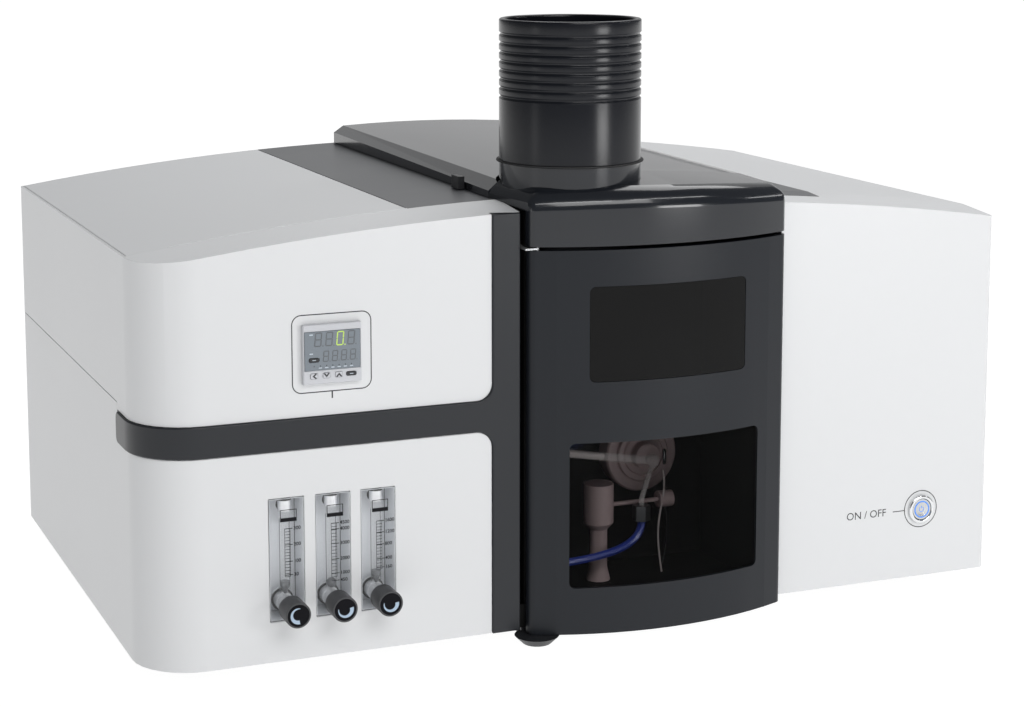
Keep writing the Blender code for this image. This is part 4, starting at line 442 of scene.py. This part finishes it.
def softened(node, finish, edge=0.4, segments=2, angle=30, flat=False):
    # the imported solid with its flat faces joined, its edges rounded by edge millimetres
    # and its curves smooth
    bm = bmesh.new()
    bm.from_mesh(frame["nodes"][node].data)
    bmesh.ops.remove_doubles(bm, verts=bm.verts, dist=0.02 * mm)
    bmesh.ops.dissolve_limit(bm, angle_limit=math.radians(0.15), verts=bm.verts, edges=bm.edges)
    first, *rest = node.split("_")
    name = first + "".join(word.capitalize() for word in rest)
    piece = addPiece(name, meshFrom(name, bm, sharpAngle=angle), finish, bodyOfNode[node], [node])
    if edge:
        bevel = piece.modifiers.new("edgeRounding", "BEVEL")
        bevel.width = edge * mm
        bevel.segments = segments
        bevel.limit_method = "ANGLE"
        bevel.angle_limit = math.radians(angle)
        bevel.harden_normals = True
        bevel.miter_outer = "MITER_ARC"
        bevel.use_clamp_overlap = True
    if flat:  # broad faces keep their own shading right up to a rounding
        weigh = piece.modifiers.new("broadFaces", "WEIGHTED_NORMAL")
        weigh.mode = "FACE_AREA"
        weigh.keep_sharp = True
    return piece


def turned(name, profile, place, facing="up", steps=64, closed=False, sharpAngle=32):
    # a profile of radius and height, spun round its own axis
    bm = bmesh.new()
    rings = []
    for radius, height in profile:
        if radius == 0:
            rings.append([bm.verts.new((0, 0, height))])
            continue
        rings.append([bm.verts.new((radius * math.cos(2 * math.pi * i / steps),
                                    radius * math.sin(2 * math.pi * i / steps), height))
                      for i in range(steps)])
    if closed:
        rings.append(rings[0])
    for low, high in zip(rings, rings[1:]):
        for i in range(steps):
            j = (i + 1) % steps
            corners = list(dict.fromkeys([low[i % len(low)], low[j % len(low)],
                                          high[j % len(high)], high[i % len(high)]]))
            if len(corners) > 2:
                bm.faces.new(corners)
    return meshFrom(name, bm, Matrix.Translation(place) @ facings[facing], sharpAngle)


def fillet(x, y, radius, start, end, steps=4):
    # points of an arc, for turned profiles and flat outlines
    angles = [math.radians(start + (end - start) * i / steps) for i in range(steps + 1)]
    return [(x + radius * math.cos(a), y + radius * math.sin(a)) for a in angles]


def roundedOutline(width, height, radius, x=0, y=0, steps=6):
    right, top = width / 2 - radius, height / 2 - radius
    return (fillet(x + right, y + top, radius, 0, 90, steps) +
            fillet(x - right, y + top, radius, 90, 180, steps) +
            fillet(x - right, y - top, radius, 180, 270, steps) +
            fillet(x + right, y - top, radius, 270, 360, steps))


def cutSheet(name, outlines, thickness, place):
    # a thin sheet that faces the front: the first outline is its outside, the rest are holes
    curve = bpy.data.curves.new(name, "CURVE")
    curve.dimensions = "2D"
    curve.fill_mode = "BOTH"
    curve.extrude = thickness / 2
    for outline in outlines:
        spline = curve.splines.new("POLY")
        spline.points.add(len(outline) - 1)
        for point, spot in zip(spline.points, outline):
            point.co = (*spot, 0, 1)
        spline.use_cyclic_u = True
    lift = Matrix.Translation((0, 0, thickness / 2))
    return curveMesh(name, curve, Matrix.Translation(place) @ facings["front"] @ lift)


def curveMesh(name, data, place):
    guide = bpy.data.objects.new(name, data)
    bpy.context.scene.collection.objects.link(guide)
    bpy.context.view_layer.update()
    graph = bpy.context.evaluated_depsgraph_get()
    mesh = bpy.data.meshes.new_from_object(guide.evaluated_get(graph))
    mesh.name = name
    bpy.data.objects.remove(guide, do_unlink=True)
    bm = bmesh.new()
    bm.from_mesh(mesh)
    bmesh.ops.remove_doubles(bm, verts=bm.verts, dist=0.001 * mm)
    bpy.data.meshes.remove(mesh)
    return meshFrom(name, bm, place)


def tubeAlong(name, points, radius):
    curve = bpy.data.curves.new(name, "CURVE")
    curve.dimensions = "3D"
    curve.bevel_depth = radius
    curve.bevel_resolution = 3
    curve.use_fill_caps = True
    spline = curve.splines.new("NURBS")
    spline.points.add(len(points) - 1)
    for point, spot in zip(spline.points, points):
        point.co = (*spot, 1)
    spline.order_u = 4
    spline.use_endpoint_u = True
    spline.resolution_u = 5
    return curveMesh(name, curve, Matrix.Identity(4))


def words(name, text, size, place, thickness=0.05 * mm, align="CENTER", weight=0.0):
    letters = bpy.data.curves.new(name, "FONT")
    letters.body = text
    letters.size = size
    letters.align_x = align
    letters.align_y = "CENTER"
    letters.extrude = thickness / 2
    letters.resolution_u = 3
    letters.offset = weight
    return curveMesh(name, letters, Matrix.Translation(place) @ facings["front"])


def blockMesh(name, low, high, edge=0.3):
    low, high = Vector(low), Vector(high)
    bm = bmesh.new()
    bmesh.ops.create_cube(bm, size=1, matrix=Matrix.Translation((low + high) / 2) @
                          Matrix.Diagonal((*(high - low), 1)))
    bmesh.ops.bevel(bm, geom=bm.edges, offset=edge * mm, segments=2, profile=0.5, affect="EDGES")
    return meshFrom(name, bm)


def joined(name, *meshes):
    bm = bmesh.new()
    for mesh in meshes:
        bm.from_mesh(mesh)
        bpy.data.meshes.remove(mesh)
    mesh = bpy.data.meshes.new(name)
    bm.to_mesh(mesh)
    bm.free()
    return shaded(mesh)


# Painted sheet covers, top panels, base and trim
covers = {
    "left_lower_cover": ("whiteEnamel", 0.5), "left_upper_cover": ("whiteEnamel", 0.5),
    "right_cover": ("whiteEnamel", 0.7), "top_left_panel": ("whiteEnamel", 0.9),
    "top_center_panel": ("panelGrey", 0.4), "trim_frame": ("trimPaint", 0.3),
    "base_tray": ("darkSheet", 0.3), "rear_panel": ("rearPaint", 0.4),
}
seam = {"radius": 0.35 * mm, "start": 6 * mm, "frontBand": 0.2 * mm, "sag": 0.5 * mm}


def makeCovers():
    for node, (finish, edge) in covers.items():
        softened(node, finish, edge, flat=True)


def makeSeamLip():
    # the top panel's front edge stands a hair proud and catches the front light
    panel = frame["nodes"]["top_left_panel"]
    corners = [panel.matrix_world @ vertex.co for vertex in panel.data.vertices]
    front = min(corner.y for corner in corners)
    tops = {}
    for corner in corners:
        if corner.y < front + seam["frontBand"]:
            x = round(corner.x, 4)
            tops[x] = max(corner.z, tops.get(x, corner.z))
    first, last = min(tops), max(tops)
    slope = (tops[last] - tops[first]) / (last - first)
    line = [Vector((x, front, z)) for x, z in sorted(tops.items())
            if x > first + seam["start"] and z > tops[first] + slope * (x - first) - seam["sag"]]
    addPiece("seamLip", tubeAlong("seamLip", line, seam["radius"]), "whiteEnamel")


makeCovers()
makeSeamLip()
print("covers are dressed")


# Hood, rear lid and flue
flue = {"x": 0.383, "y": 0.045, "radius": 0.060, "bore": 0.055, "low": 0.3922, "top": 0.5106,
        "rimBand": 0.0126, "rimRounding": 0.0018, "grooves": 8, "pitch": 0.0075,
        "grooveDepth": 0.0013, "grooveHalf": 0.0013, "grooveFloor": 0.35,
        "ribRounding": 0.7 * mm, "steps": 112}


def makeFlue():
    radius, bore, low, top = flue["radius"], flue["bore"], flue["low"], flue["top"]
    soft, half, depth = flue["rimRounding"], flue["grooveHalf"], flue["grooveDepth"]
    rib, floor = flue["ribRounding"], flue["grooveFloor"] * half
    profile = [(bore, low), (bore, top - soft)]
    profile += fillet(bore + soft, top - soft, soft, 180, 90)
    profile += fillet(radius - soft, top - soft, soft, 90, 0)
    for i in range(flue["grooves"]):
        z = top - flue["rimBand"] - flue["pitch"] * i
        profile += fillet(radius - rib, z + half + rib, rib, 0, -50, 3)
        profile += [(radius - depth, z + floor), (radius - depth, z - floor)]
        profile += fillet(radius - rib, z - half - rib, rib, 50, 0, 3)
    profile.append((radius, low))
    place = at(flue["x"], flue["y"], 0)
    addPiece("fluePipe", turned("fluePipe", profile, place, "up", flue["steps"], True, 60),
             "flueSatin", "cabinet", ["flue_pipe"])
    softened("flue_gasket", "blackRubber", 0.4)
    softened("flue_collar", "hoodGloss", 0.3)


def makeHoodAndLid():
    softened("front_hood", "hoodGloss", 0.5, 3, flat=True)
    softened("rear_lid", "hoodGloss", 1.2, 3, flat=True)
    softened("lid_catch", "blackPlastic", 0.5)
    softened("lid_hinge_rod", "brushedSteel", 0.2)


makeFlue()
makeHoodAndLid()
print("hood, lid and flue are dressed")


# Door with its two smoked panes
def makeDoor():
    softened("door_shell", "doorSatin", 1.0, 3, flat=True)
    softened("door_lower_window", "smokedPane", 0)
    softened("door_upper_window", "darkPane", 0)
    softened("hinge_foot", "blackPlastic", 0.6)
    softened("upper_hinge_pin", "zincPlate", 0.2)
    softened("lower_hinge_pin", "darkSteel", 0.2)


makeDoor()
print("door is dressed")


# Flow meters: clear blocks on a silver backing, with a printed scale, a float, a valve and its knob
meters = {
    "centres": (0.11653, 0.15553, 0.19391), "width": 0.029, "low": 0.034, "high": 0.1355,
    "endGap": 0.0006,
    "front": -0.003, "back": 0.025, "boreY": 0.007, "valveZ": 0.047,
    "barrel": 0.0075, "ring": 0.0090, "knobRadius": 0.0105, "knobFront": -0.030, "knobRear": -0.009,
    "scaleLeft": 0.0118, "scaleRight": 0.0164, "tickOut": 0.0184, "numberLeft": 0.0192,
    "numberSize": 0.0040, "numberWeight": 0.00009, "thinLine": 0.00038, "thickLine": 0.00058,
    "linerInset": 0.0004, "linerThickness": 0.0003, "linerFront": 0.0005,
    # the bore's painted shade lines: their place from the centre, their width and their ends
    "boreEdge": 0.0041, "boreShadeWidth": 0.00045, "boreLow": 0.0560, "boreHigh": 0.1170,
    "backingHalf": 0.0138, "backingFront": 0.0003, "backingRear": 0.0015, "divisions": 16,
    "labelFrame": (0.0082, 0.1168, 0.0220, 0.1268), "labelHole": (0.0088, 0.1200, 0.0214, 0.1262),
    "plug": [(0, 0.1235), (0.0048, 0.1235), (0.0052, 0.1240), (0.0052, 0.1326), (0, 0.1326)],
    "topSeal": [(0, 0.1327), (0.0058, 0.1327), (0.0058, 0.1352), (0, 0.1352)],
    "sealRings": ((0.0162, 0.047, 0.0084), (0.0130, 0.1272, 0.0044)), "sealThickness": 0.0009,
    "print": 0.04 * mm,
    "scales": (
        (("300", 0.1110), ("200", 0.0977), ("100", 0.0838), ("30", 0.0727)),
        (("4500", 0.1113), ("4000", 0.1063), ("3000", 0.0943), ("2000", 0.0814), ("1000", 0.0695),
         ("450", 0.0634)),
        (("1600", 0.1090), ("1200", 0.0994), ("800", 0.0893), ("400", 0.0773), ("160", 0.0699)),
    ),
    "scaleLow": (0.0715, 0.0665, 0.0685),
    "markStart": (75, 170, 165), "markSweep": 205, "markSteps": 28, "markTip": 0.0004,
    "markSwell": 0.0029, "markRadius": 0.0058,
}


def bar(left, low, right, high):
    return [(left, low), (right, low), (right, high), (left, high)]


def makeMeterPrint(number, x):
    left = x - meters["width"] / 2
    front = meters["front"] - 0.01 * mm
    scale = meters["scales"][number - 1]
    low, high = meters["scaleLow"][number - 1], scale[0][1]
    thin, thick = meters["thinLine"] / 2, meters["thickLine"] / 2
    lines = [bar(meters["scaleLeft"] - thin, low, meters["scaleLeft"] + thin, high),
             bar(meters["scaleRight"] - thin, low, meters["scaleRight"] + thin, high)]
    count = meters["divisions"]
    for i in range(count + 1):
        z = low + (high - low) * i / count
        lines.append(bar(meters["scaleLeft"], z - thin, meters["scaleRight"], z + thin))
    for _, z in scale:
        lines.append(bar(meters["scaleLeft"], z - thick, meters["tickOut"], z + thick))
    ink = meters["print"]
    meshes = [cutSheet("tick", [line], ink, at(left, front, 0)) for line in lines]
    for label, z in scale:
        spot = at(left + meters["numberLeft"], front - ink / 2, z)
        meshes.append(words("number", label, meters["numberSize"], spot, ink, "LEFT",
                            meters["numberWeight"]))
    # the small frame above the scale, with its dark foot, holds no name
    outer, inner = bar(*meters["labelFrame"]), bar(*meters["labelHole"])
    meshes.append(cutSheet("frame", [outer, inner], ink, at(left, front, 0)))
    addPiece(f"meterScale{number}", joined(f"meterScale{number}", *meshes), "meterInk")


def makeMeterInside(number, x):
    back = meters["back"]
    low, high = meters["low"] + meters["endGap"], meters["high"] - meters["endGap"]
    wide, name = meters["backingHalf"], f"meterBacking{number}"
    meshes = [blockMesh("plate", at(x - wide, back + meters["backingFront"], low),
                        at(x + wide, back + meters["backingRear"], high), 0.2)]
    near, far = meters["linerFront"], back - meters["linerFront"]
    half, thick = meters["width"] / 2 - meters["linerInset"], meters["linerThickness"]
    for side in (x - half, x + half):
        meshes.append(blockMesh("liner", at(side - thick / 2, near, low),
                                at(side + thick / 2, far, high), 0.05))
    for z in (low, high - thick):
        meshes.append(blockMesh("liner", at(x - half, near, z), at(x + half, far, z + thick), 0.05))
    addPiece(name, joined(name, *meshes), "meterBacking")
    # two thin dark bars at the bore's sides are painted shade, standing for the dark refracted
    # edges of the bore in the clear block
    line, y, edges = meters["boreShadeWidth"] / 2, meters["boreY"], []
    for side in (x - meters["boreEdge"], x + meters["boreEdge"]):
        edges.append(blockMesh("edge", at(side - line, y - line, meters["boreLow"]),
                               at(side + line, y + line, meters["boreHigh"]), 0.05))
    addPiece(f"meterBoreShadeLines{number}", joined(f"meterBoreShadeLines{number}", *edges), "darkSteel")
    bore = at(x, y, 0)
    addPiece(f"meterPlug{number}", turned(f"meterPlug{number}", meters["plug"], bore), "valveSteel")
    addPiece(f"meterTopSeal{number}", turned(f"meterTopSeal{number}", meters["topSeal"], bore),
             "blackRubber")
    seals, tube = [], meters["sealThickness"]
    for y, z, radius in meters["sealRings"]:
        ring = fillet(radius, 0, tube, 0, 324, 9)
        seals.append(turned("seal", ring, at(x, y, z), "front", 48, True, 80))
    addPiece(f"meterSeals{number}", joined(f"meterSeals{number}", *seals), "blackRubber")


def makeMeterKnob(number, x):
    place = at(x, 0, meters["valveZ"])
    front, rear, radius = -meters["knobFront"], -meters["knobRear"], meters["knobRadius"]
    profile = [(0, front - 0.0004), (radius - 0.0016, front - 0.0004), (radius - 0.0013, front)]
    profile += fillet(radius - 0.0007, front - 0.0007, 0.0007, 90, 0)
    profile += fillet(radius - 0.0005, rear + 0.0005, 0.0005, 0, -90, 3)
    profile += [(0.0033, rear), (0.0033, rear + 0.0173), (0, rear + 0.0173)]
    name = f"flowmeterKnob{number}"
    addPiece(name, turned(name, profile, place, "front", 72), "knobPlastic", f"knob_{number}",
             [f"flowmeter_knob_{number}"])
    disc = turned(f"knobFace{number}", [(0, front - 0.00035), (0, front - 0.0001),
                                        (radius - 0.0016, front - 0.0001),
                                        (radius - 0.0014, front - 0.00035)], place, "front", 64)
    addPiece(f"knobFace{number}", disc, "knobFace", f"knob_{number}")
    # a tapered arc shows which way the valve opens
    start, sweep, steps = meters["markStart"][number - 1], meters["markSweep"], meters["markSteps"]
    inner, outer = [], []
    for i in range(steps + 1):
        share = i / steps
        a = math.radians(start + sweep * share)
        width = meters["markTip"] + meters["markSwell"] * share ** 0.8
        middle = meters["markRadius"] - meters["markTip"] * share
        outer.append(((middle + width / 2) * math.cos(a), (middle + width / 2) * math.sin(a)))
        inner.append(((middle - width / 2) * math.cos(a), (middle - width / 2) * math.sin(a)))
    mark = cutSheet(f"knobMark{number}", [outer + inner[::-1]], 0.08 * mm,
                    place + Vector((0, -front + 0.0001, 0)))
    addPiece(f"knobMark{number}", mark, "knobMark", f"knob_{number}")


def makeMeterValve(number, x):
    place = at(x, 0, meters["valveZ"])
    barrel, ring = meters["barrel"], meters["ring"]
    profile = [(0, 0.026), (0.003, 0.026), (0.003, 0.0085), (0.0052, 0.0085), (0.0056, 0.0080),
               (0.0056, 0.0045), (0.0062, 0.0040), (barrel, 0.0036), (barrel, -0.004),
               (barrel - 0.0005, -0.0045), (barrel - 0.0005, -0.0065), (barrel, -0.0070),
               (barrel, -0.0173), (ring, -0.0173), (ring, -0.0203), (0, -0.0203)]
    name = f"flowmeterStem{number}"
    addPiece(name, turned(name, profile, place, "front"), "valveSteel", "cabinet",
             [f"flowmeter_stem_{number}"])


def makeMeters():
    for number, x in enumerate(meters["centres"], start=1):
        softened(f"flowmeter_body_{number}", "clearAcrylic", 0, angle=25)
        softened(f"flowmeter_float_{number}", "darkSteel", 0)
        makeMeterPrint(number, x)
        makeMeterInside(number, x)
        makeMeterValve(number, x)
        makeMeterKnob(number, x)


makeMeters()
print("flow meters are made")


# Temperature and flow controller with its display, keys and printed frame
controller = {
    "x": 0.155, "z": 0.2513, "outlineWidth": 0.067, "outlineHeight": 0.064, "outlineShift": 0.001,
    "outlineRadius": 0.008, "outlineLine": 0.0009, "tickHalf": 0.0006, "tickLow": -0.0375,
    "keys": ("mode", "shift", "down", "up", "set"), "arrowSize": 0.0050, "arrowStroke": 0.0012,
    "slant": 0.09, "print": 0.03 * mm,
    # digits: first place and step to the right, height of the row, size, stroke, its point
    "upperDigits": {"x": -0.0119, "step": 0.0092, "z": 0.0120, "width": 0.0060, "height": 0.0115,
                    "stroke": 0.0009, "point": 0.0010, "pointX": 0.0039, "pointZ": 0.0067},
    "lowerDigits": {"x": -0.0055, "step": 0.0075, "z": -0.0018, "width": 0.0049, "height": 0.0090,
                    "stroke": 0.0008, "point": 0.0008, "pointX": 0.0033, "pointZ": -0.0059},
    "litDigit": 2, "markX": -0.0155, "markStep": 0.0052, "markCount": 7,
}
segments = {"a": "top", "b": "upperRight", "c": "lowerRight", "d": "bottom", "e": "lowerLeft",
            "f": "upperLeft", "g": "middle"}


def digitOutlines(x, z, width, height, stroke, shown):
    # one seven-segment digit as hexagonal bars that lean to the right
    def level(cx, cz):
        half, end = stroke / 2, width / 2 - stroke * 0.62
        return [(cx - end, cz), (cx - end + half, cz + half), (cx + end - half, cz + half),
                (cx + end, cz), (cx + end - half, cz - half), (cx - end + half, cz - half)]

    def upright(cx, cz):
        half, end = stroke / 2, height / 4 - stroke * 0.28
        return [(cx, cz + end), (cx + half, cz + end - half), (cx + half, cz - end + half),
                (cx, cz - end), (cx - half, cz - end + half), (cx - half, cz + end - half)]

    side, deep = (width - stroke) / 2, (height - stroke) / 2
    right, left, above, below = x + side, x - side, z + deep / 2, z - deep / 2
    shapes = {"top": level(x, z + deep), "middle": level(x, z), "bottom": level(x, z - deep),
              "upperRight": upright(right, above), "lowerRight": upright(right, below),
              "upperLeft": upright(left, above), "lowerLeft": upright(left, below)}
    lean = controller["slant"]
    return [[(px + lean * (pz - z), pz) for px, pz in shapes[segments[key]]] for key in shown]


def makeDisplay():
    x, z = controller["x"], controller["z"]
    low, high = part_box("controller_display")
    front = low.y - datum.y
    softened("controller_display", "displayGlass", 0.2)

    def printed(name, outlines, finish):
        place, ink = at(x, front, z), controller["print"]
        sheets = [cutSheet("mark", [line], ink, place) for line in outlines]
        addPiece(name, joined(name, *sheets), finish)

    dim, lit = [], []
    for row in (controller["upperDigits"], controller["lowerDigits"]):
        for i in range(4):
            cx = row["x"] + row["step"] * i
            isLit = row is controller["upperDigits"] and i == controller["litDigit"]
            target = lit if isLit else dim
            target += digitOutlines(cx, row["z"], row["width"], row["height"], row["stroke"],
                                    "abcdef" if isLit else "abcdefg")
            target.append(roundedOutline(row["point"], row["point"], 0.0003, cx + row["pointX"],
                                         row["pointZ"], 2))
    printed("segmentsOff", dim, "segmentOff")
    printed("segmentsLit", lit, "segmentLit")
    first, step = controller["markX"], controller["markStep"]
    places = [first + step * i for i in range(controller["markCount"])]
    small = [roundedOutline(0.0007, 0.0011, 0.0002, mx, -0.0094, 2) for mx in places]
    printed("displayMarks", small, "panelInk")
    pale = [roundedOutline(0.0028, 0.0008, 0.0003, mx, -0.0110, 2) for mx in places[1:]]
    pale += [roundedOutline(0.0030, 0.0010, 0.0003, -0.0177, mz, 2) for mz in (0.0162, 0.0008)]
    printed("displayNotes", pale, "paleInk")


def chevron(size, stroke, turn):
    # an arrow head as an open V of even thickness
    reach = size / 2
    line = [(-reach, -reach * 0.6), (0, reach * 0.6), (reach, -reach * 0.6),
            (reach - stroke * 0.8, -reach * 0.6 - stroke * 0.5), (0, reach * 0.6 - stroke * 1.5),
            (-reach + stroke * 0.8, -reach * 0.6 - stroke * 0.5)]
    across, along = math.cos(math.radians(turn)), math.sin(math.radians(turn))
    return [(px * across - pz * along, px * along + pz * across) for px, pz in line]


def makeKeys():
    marks = {"shift": 90, "down": 180, "up": 0}
    for key in controller["keys"]:
        node = f"{key}_key"
        low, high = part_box(node)
        centre = (low + high) / 2
        pill = key in ("mode", "set")
        softened(node, "panelInk" if pill else "housingGrey", 0.25)
        front = Vector((centre.x, low.y - 0.01 * mm, centre.z))
        if pill:
            outline = roundedOutline(0.0030, 0.0006, 0.0002)
        else:
            outline = chevron(controller["arrowSize"], controller["arrowStroke"], marks[key])
        mark = cutSheet(f"{key}Mark", [outline], controller["print"], front)
        addPiece(f"{key}KeyMark", mark, "paleInk" if pill else "panelInk", f"key_{key}")


def makeControllerFrame():
    place = at(controller["x"] + controller["outlineShift"], 0, controller["z"])
    softened("controller_housing", "housingGrey", 0.3)
    wide, high = controller["outlineWidth"], controller["outlineHeight"]
    line, radius = controller["outlineLine"], controller["outlineRadius"]
    ring = cutSheet("outline", [roundedOutline(wide, high, radius),
                                roundedOutline(wide - 2 * line, high - 2 * line, radius - line)],
                    0.04 * mm, place)
    half = controller["tickHalf"]
    tick = cutSheet("tick", [bar(-half, controller["tickLow"], half, -high / 2)], 0.04 * mm, place)
    addPiece("controllerOutline", joined("controllerOutline", ring, tick), "panelInk")


makeControllerFrame()
makeDisplay()
makeKeys()
print("controller is made")


# Power button with its bezel, lit ring, printed circle and leader
power = {"x": 0.711, "z": 0.0625, "bezelRadius": 0.013, "bezelFront": 0.0032, "ringInner": 0.0066,
         "ringOuter": 0.0078, "capFront": 0.0024, "circle": 0.0172, "circleSweep": 354,
         "leaderLeft": -0.0290, "line": 0.0008, "wordsSize": 0.0098, "wordsX": -0.0565,
         "print": 0.04 * mm}


def makePowerButton():
    place = at(power["x"], 0, power["z"])
    radius, front = power["bezelRadius"], power["bezelFront"]
    profile = [(0.0098, 0.0012), (0.0098, front - 0.0006), (0.0102, front - 0.0001),
               (0.0106, front)]
    profile += fillet(radius - 0.0014, front - 0.0014, 0.0014, 90, 10, 5)
    profile += [(radius, 0.0003), (0.0108, 0.0003), (0.0108, -0.018), (0, -0.018), (0, -0.0165),
                (0.0098, -0.0165)]
    addPiece("powerButtonBezel", turned("powerButtonBezel", profile, place, "front", 72, True, 40),
             "brightChrome", "cabinet", ["power_button_bezel"])
    top = power["capFront"]
    cap = [(0, top - 0.0007), (0.0030, top - 0.0006), (0.0060, top - 0.0001), (0.0064, top),
           (0.0092, top), (0.0094, top - 0.0003), (0.0094, top - 0.012), (0, top - 0.012)]
    addPiece("powerButton", turned("powerButton", cap, place, "front", 72),
             "brushedSteel", "power_plunger", ["power_button"])
    ring = turned("powerRing", [(power["ringInner"], top), (power["ringInner"], top + 0.00015),
                                (power["ringOuter"], top + 0.00015), (power["ringOuter"], top)],
                  place, "front", 64, True)
    addPiece("powerRing", ring, "buttonBlue", "power_plunger")
    ink, dish = power["print"], place + Vector((0, -top, 0))
    gap = fillet(0, 0, 0.0026, 125, 415, 20) + fillet(0, 0, 0.0020, 415, 125, 20)
    arc = cutSheet("arc", [gap], ink, dish + Vector((0, 0.62 * mm, 0)))
    stroke = cutSheet("bar", [bar(-0.0003, 0.0008, 0.0003, 0.0032)], ink,
                      dish + Vector((0, 0.6 * mm, 0)))
    addPiece("powerMark", joined("powerMark", arc, stroke), "buttonBlue", "power_plunger")
    circle, line, sweep = power["circle"], power["line"], power["circleSweep"]
    rims = [fillet(0, 0, rim, 0, sweep, 59) for rim in (circle, circle - line)]
    leader = bar(power["leaderLeft"], -line / 2, -circle, line / 2)
    printed = [cutSheet("circle", rims, ink, place), cutSheet("leader", [leader], ink, place),
               words("onOff", "ON / OFF", power["wordsSize"],
                     place + Vector((power["wordsX"], -ink / 2, 0)), ink)]
    addPiece("powerPrint", joined("powerPrint", *printed), "panelInk")


makePowerButton()
print("power button is made")


# Chamber behind the door
chamber = {
    "flangeX": 0.490, "flangeZ": 0.106, "flangeFront": -0.122, "flangeRear": -0.1397,
    "sleeve": ((0.372, 0.098, 0.1262), (0.405, 0.098, 0.1204), (0.440, 0.098, 0.1142)),
    "sleeveRadius": 0.0034,
    "capillary": ((0.4985, 0.094, 0.0965), (0.4985, 0.090, 0.083), (0.4930, 0.088, 0.064),
                  (0.4900, 0.088, 0.045), (0.4905, 0.088, 0.028), (0.4945, 0.088, 0.004)),
    "capillaryRadius": 0.0009,
    "wire": ((0.5085, 0.110, 0.063), (0.5110, 0.110, 0.040), (0.5105, 0.110, 0.022),
             (0.5060, 0.110, 0.004)),
    "wireRadius": 0.0006, "lens": (0.425, 0.134, 0.139), "lensRadius": 0.033,
}


def makeFurnace():
    place = at(chamber["flangeX"], 0, chamber["flangeZ"])
    front, rear = chamber["flangeFront"], chamber["flangeRear"]
    profile = [(0, front + 0.014), (0.0095, front + 0.014), (0.0120, front + 0.0125),
               (0.0120, front + 0.004), (0.0130, front + 0.003), (0.0180, front + 0.003),
               (0.0190, front + 0.002),
               (0.0190, front + 0.0012), (0.0200, front + 0.0012), (0.0200, front + 0.003),
               (0.0240, front + 0.003), (0.0248, front + 0.002), (0.0248, front - 0.0010),
               (0.0262, front - 0.0010), (0.0262, front), (0.0335, front), (0.0350, front - 0.0015),
               (0.0350, rear), (0, rear)]
    addPiece("furnaceFlange", turned("furnaceFlange", profile, place, "front", 96), "flangeCeramic",
             "cabinet", ["furnace_flange"])
    # the slot in the flange's face is a thin dark sheet laid on the face: painted shade for the
    # inside of the recess
    slot = cutSheet("flangeSlotShade", [roundedOutline(0.0034, 0.0150, 0.0016, 0.0215, -0.004)],
                    0.3 * mm, place + Vector((0, -front - 0.0030, 0)))
    addPiece("flangeSlotShade", slot, "darkSheet")
    pin = blockMesh("flangePin", place + Vector((0.0207, -front - 0.0040, -0.008)),
                    place + Vector((0.0218, -front - 0.0032, 0.001)), 0.2)
    addPiece("flangePin", pin, "brushedSteel")
    softened("furnace_shield", "darkSheet", 0.3)


def makeGlassware():
    softened("glass_tee", "clearGlass", 0)
    softened("hose_nut", "darkSteel", 0.3)
    softened("blue_hose", "hosePlastic", 0)
    for name, key, finish in (("glassSleeve", "sleeve", "capillaryPale"),
                              ("capillary", "capillary", "capillaryPale"),
                              ("signalWire", "wire", "darkSteel")):
        line = [at(*spot) for spot in chamber[key]]
        addPiece(name, tubeAlong(name, line, chamber[key + "Radius"]), finish)


def makePostAndLens():
    softened("height_post", "postMoulding", 0.4)
    softened("height_knob", "postMoulding", 0.4)
    radius = chamber["lensRadius"]
    dome = fillet(0, -0.020, radius, 90, 38, 10)
    profile = [(0, dome[0][1])] + dome[1:] + [(0.027, -0.001), (0.027, -0.0057), (0, -0.0057)]
    addPiece("lensDome", turned("lensDome", profile, at(*chamber["lens"]), "front"), "lensCoating")


def makeInside():
    softened("left_bulkhead", "darkSheet", 0.2)
    softened("right_bulkhead", "darkSheet", 0.2)
    softened("pmt_housing", "blackPlastic", 0.5)
    softened("power_supply", "zincPlate", 0.5)
    softened("hollow_cathode_lamp", "clearGlass", 0.2)


makeFurnace()
makeGlassware()
makePostAndLens()
makeInside()
print("chamber is made")


# Back and underside
def makeRear():
    softened("mains_inlet", "blackPlastic", 0.3)
    softened("gas_inlet", "brushedSteel", 0.2)
    for node in ("front_left_foot", "front_right_foot", "rear_left_foot", "rear_right_foot"):
        softened(node, "blackRubber", 0.6)


makeRear()
print("back and feet are dressed")

leftOver = [name for name, node in frame["nodes"].items() if not node.hide_render]
print("nodes still shown as packed:", leftOver)
